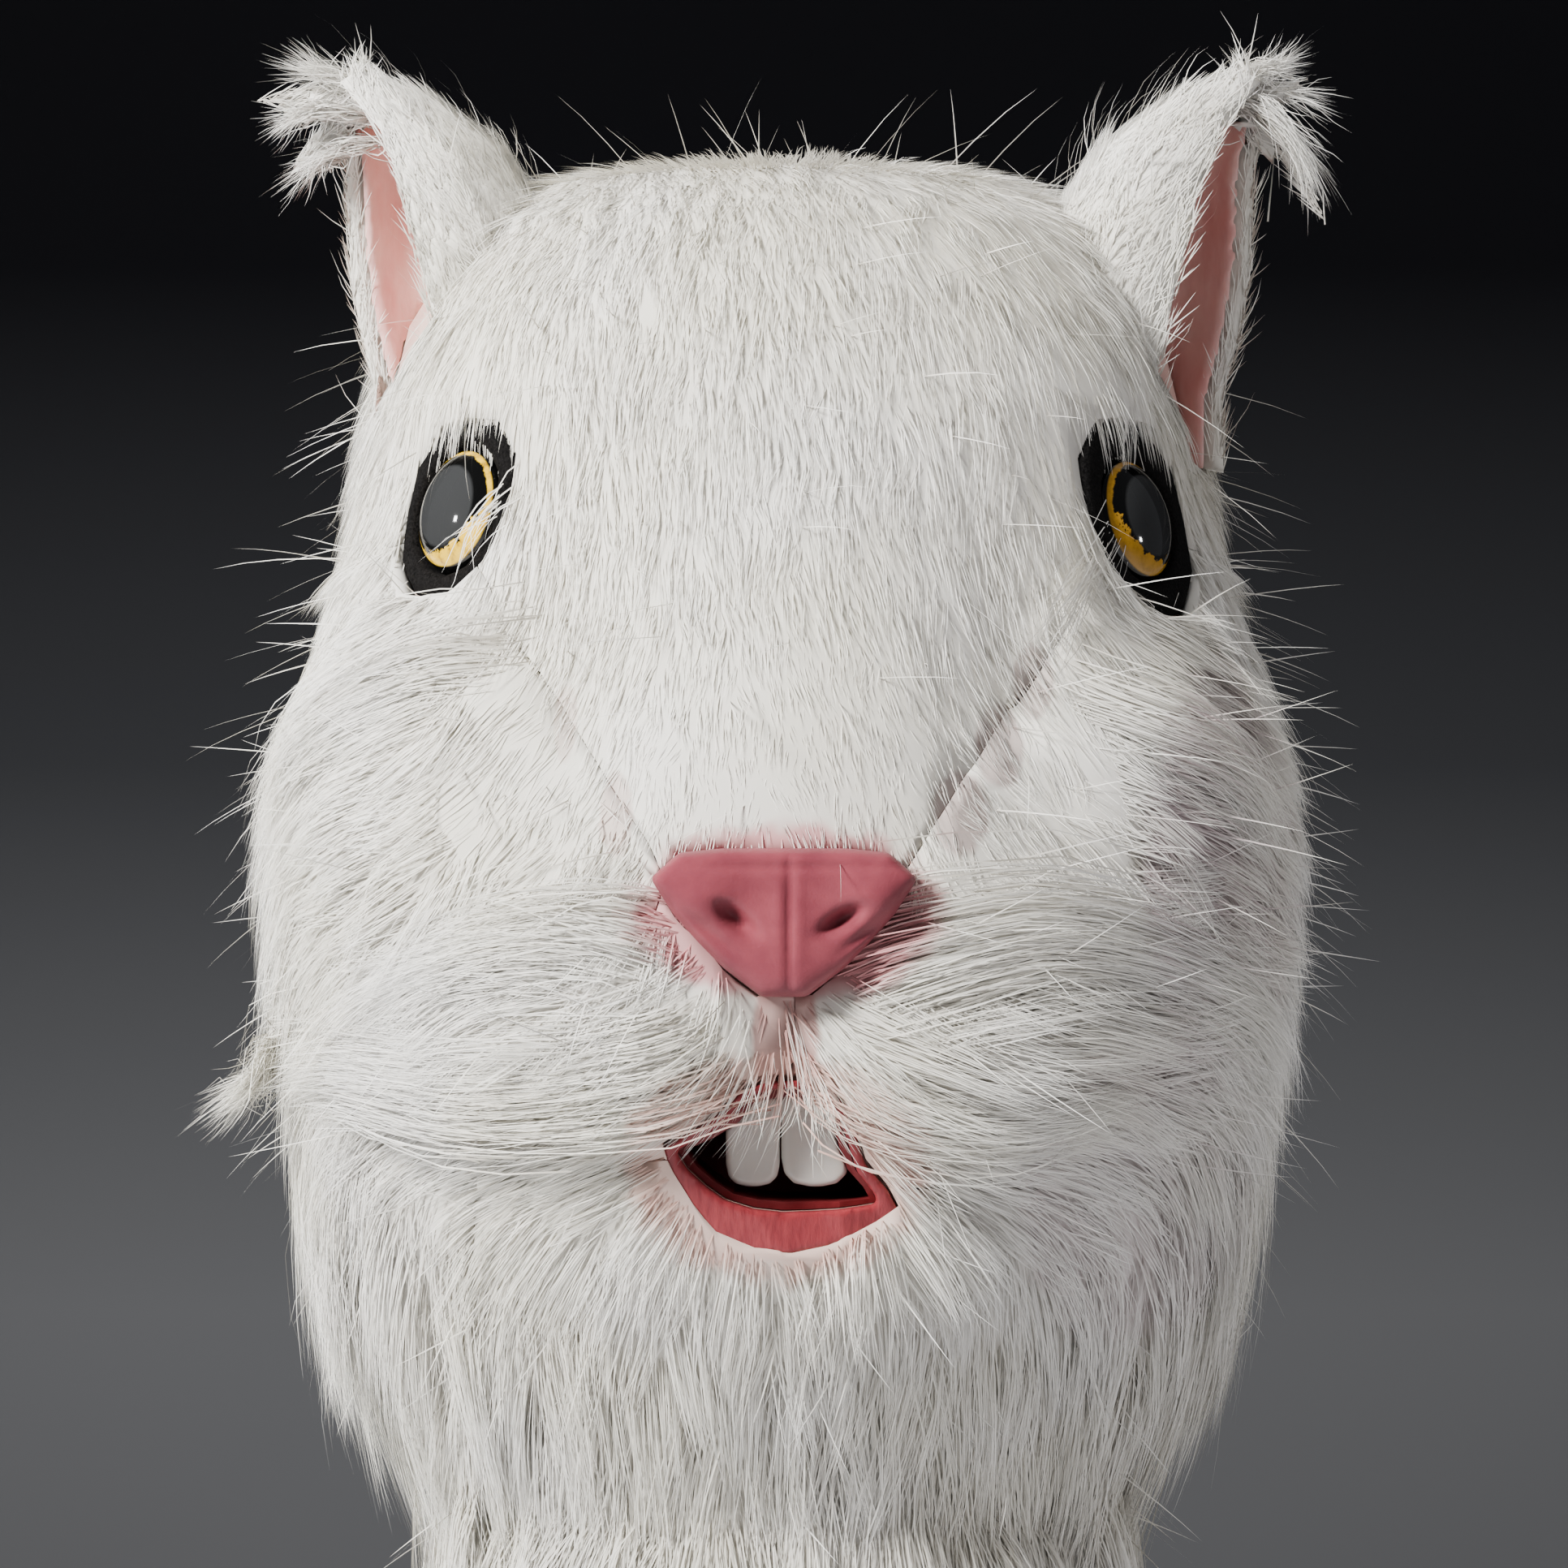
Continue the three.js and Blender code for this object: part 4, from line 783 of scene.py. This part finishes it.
def over_skin(across, up, height):
    """A point at a height over the latex, found from the front, or beside it where the face ends."""
    spot = Vector((across * MM, 0, up * MM))
    hit, _, _, _ = hood_tree.ray_cast(spot - Vector((0, 1, 0)), Vector((0, 1, 0)))
    if hit is None or spot.z < RIM_HEIGHT:
        near = under(spot - Vector((0, 0.06, 0)))[0]
        return np.array([spot.x, near.y, spot.z])
    return np.array(hit + smooth_normal(hit) * height * MM)


def smooth_line(points, t):
    """Points at t along a Catmull-Rom line."""
    line = np.array(points)
    line = np.concatenate([[2 * line[0] - line[1]], line, [2 * line[-1] - line[-2]]])
    place = np.clip(t, 0, 1) * (len(points) - 1)
    row = np.minimum(place.astype(int), len(points) - 2)
    u = (place - row)[..., None]
    a, b, c, d = (line[row + k] for k in range(4))
    curve = (2 * a - 5 * b + 4 * c - d) * u ** 2 + (3 * b - a - 3 * c + d) * u ** 3
    return 0.5 * (2 * b + (c - a) * u + curve)


def tress(count, width, thickness, spread, points, rng):
    """Strands gathered along a line of points in metres, with roots buried in the coat."""
    first = rng.random(count) * spread
    last = np.minimum(first + rng.uniform(0.45, 0.8, count), rng.uniform(0.82, 1.0, count))
    t = first[:, None] + (last - first)[:, None] * np.linspace(0, 1, TRESS_SEGMENTS + 1)[None, :]
    middle = smooth_line(points, t)
    ahead = smooth_line(points, t + 0.02) - smooth_line(points, t - 0.02)
    ahead /= np.maximum(np.linalg.norm(ahead, axis=2, keepdims=True), 1e-9)
    out = middle * [1, 1, 0]
    out /= np.maximum(np.linalg.norm(out, axis=2, keepdims=True), 1e-9)
    across = np.cross(ahead, out)
    out = np.cross(across, ahead)
    turn = rng.uniform(0, 2 * np.pi, count)
    far = np.abs(rng.normal(0, 0.6, count))
    narrow = 0.25 + 0.75 * (1 - t) ** 0.7
    along_own = np.linspace(0, 1, TRESS_SEGMENTS + 1)[None, :, None]
    middle -= out * BURIED * (1 - along_own) ** 3
    middle += across * (np.cos(turn) * far * width * MM / 2)[:, None, None] * narrow[..., None]
    middle += out * (np.sin(turn) * far * thickness * MM / 2)[:, None, None] * narrow[..., None]
    middle += rng.normal(0, FRIZZ, (count, 1, 3)) * along_own ** 2
    middle += rng.normal(0, FRIZZ / 2, (count, 1, 3)) * np.sin(along_own * 5)
    widths = TRESS_STRAND * MM * rng.uniform(0.7, 1.2, count)
    facing = unit(out[:, 1] + rng.normal(0, 0.3, (count, 3)))
    return strands_mesh(middle, widths, facing, rng.random(count))


def joined(parts):
    """One set of points, triangles and UV from several."""
    points, faces, uvs, shift = [], [], [], 0
    for part_points, part_faces, part_uv in parts:
        points.append(part_points)
        faces.append(part_faces + shift)
        uvs.append(part_uv)
        shift += len(part_points)
    return np.concatenate(points), np.concatenate(faces), np.concatenate(uvs)


for seed, (node, *settings) in enumerate(PANELS):
    rng = np.random.default_rng(seed)
    coat, skin = undercoat(node)
    parts = [coat, strands(coat, skin, *settings, rng)]
    for owner, *form, line in TRESSES:
        if owner == node:
            parts.append(tress(*form, [over_skin(*point) for point in line], rng))
    fur_piece(node + "_pile", *joined(parts), node)

# Ear fur: the same pile on the outside of each scoop, combed to its tip, with a loose tuft there
EAR_STRANDS = 5000
EAR_STRAND_WIDTH = 0.00040
EAR_LOOSE_SHARE = 0.035
EAR_UNDERCOAT = 0.0012
EAR_PILE = 0.008


def ear_fur(node, ear_node, tufts, rng):
    panel = node_mesh(node)
    ear = node_mesh(ear_node)
    ear_tree = BVHTree.FromBMesh(ear)
    ear.free()
    tip = Vector(max((v.co[:] for v in panel.verts), key=lambda co: co[2]))
    bmesh.ops.triangulate(panel, faces=panel.faces)
    faces = [face for face in panel.faces
             if ear_tree.find_nearest(face.calc_center_median())[3] > 0.002]
    area = np.array([face.calc_area() for face in faces])
    picks = rng.choice(len(faces), size=EAR_STRANDS, p=area / area.sum())
    paths, facing = [], []
    for pick in picks:
        face = faces[pick]
        u, v = sorted(rng.random(2))
        root = face.verts[0].co * u + face.verts[1].co * (v - u) + face.verts[2].co * (1 - v)
        normal = face.normal
        way = (tip - root).normalized() * 0.8 + Vector((0, 0, -0.15)) + Vector(rng.normal(0, 0.16, 3))
        way = (way - normal * way.dot(normal)).normalized()
        loose = rng.random() < EAR_LOOSE_SHARE
        reach = rng.uniform(0.010, 0.020) if loose else rng.uniform(0.006, 0.012)
        rise = rng.uniform(0.5, 1.2) if loose else rng.uniform(0.12, 0.4)
        steps = [root - normal * EAR_UNDERCOAT + (way + normal * rise * (1 - 0.5 * t)) * reach * t
                 for t in (0, 1 / 3, 2 / 3, 1)]
        paths.append([step[:] for step in steps])
        facing.append(normal[:])
    widths = np.full(len(paths), EAR_STRAND_WIDTH)
    strand = strands_mesh(np.array(paths), widths, np.array(facing), rng.random(len(paths)))
    for vertex in panel.verts:
        near, _, _, distance = ear_tree.find_nearest(vertex.co)
        vertex.co -= vertex.normal * EAR_UNDERCOAT
        if distance > EAR_PILE:
            vertex.co = near + (vertex.co - near) * EAR_PILE / distance
    points = np.array([v.co[:] for v in panel.verts])
    triangles = np.array([[v.index for v in face.verts] for face in panel.faces])
    panel.free()
    # The ear's undercoat takes a slightly darker root colour: painted shade between the strands
    coat = (points, triangles, np.tile([0.4, 0.5], (len(points), 1)))
    tips = [tress(*form, np.array(line) * MM, rng) for *form, line in tufts]
    fur_piece(node + "_pile", *joined([coat, strand, *tips]), node)


# Each tuft: strands, width, thickness, how far up the line the roots spread, middle line, in mm
EAR_TUFTS = {
    "left": [(300, 12, 7, 0.5, [(-104, -32, 18), (-118, -34, 27), (-136, -34, 34)]),
             (160, 9, 6, 0.5, [(-110, -34, 16), (-126, -35, 20), (-138, -36, 14)]),
             (160, 9, 6, 0.5, [(-108, -30, 14), (-122, -30, 10), (-134, -32, -2)])],
    "right": [(260, 10, 7, 0.5, [(112, -32, 22), (128, -34, 30), (140, -34, 34)]),
              (320, 12, 6, 0.4, [(110, -32, 22), (128, -36, 22), (139, -36, 8), (144, -34, -6)]),
              (120, 9, 6, 0.4, [(116, -32, 20), (132, -30, 26), (150, -30, 22)])],
}
for seed, side in enumerate(("left", "right")):
    ear_fur(side + "_ear_fur", side + "_ear", EAR_TUFTS[side], np.random.default_rng(20 + seed))
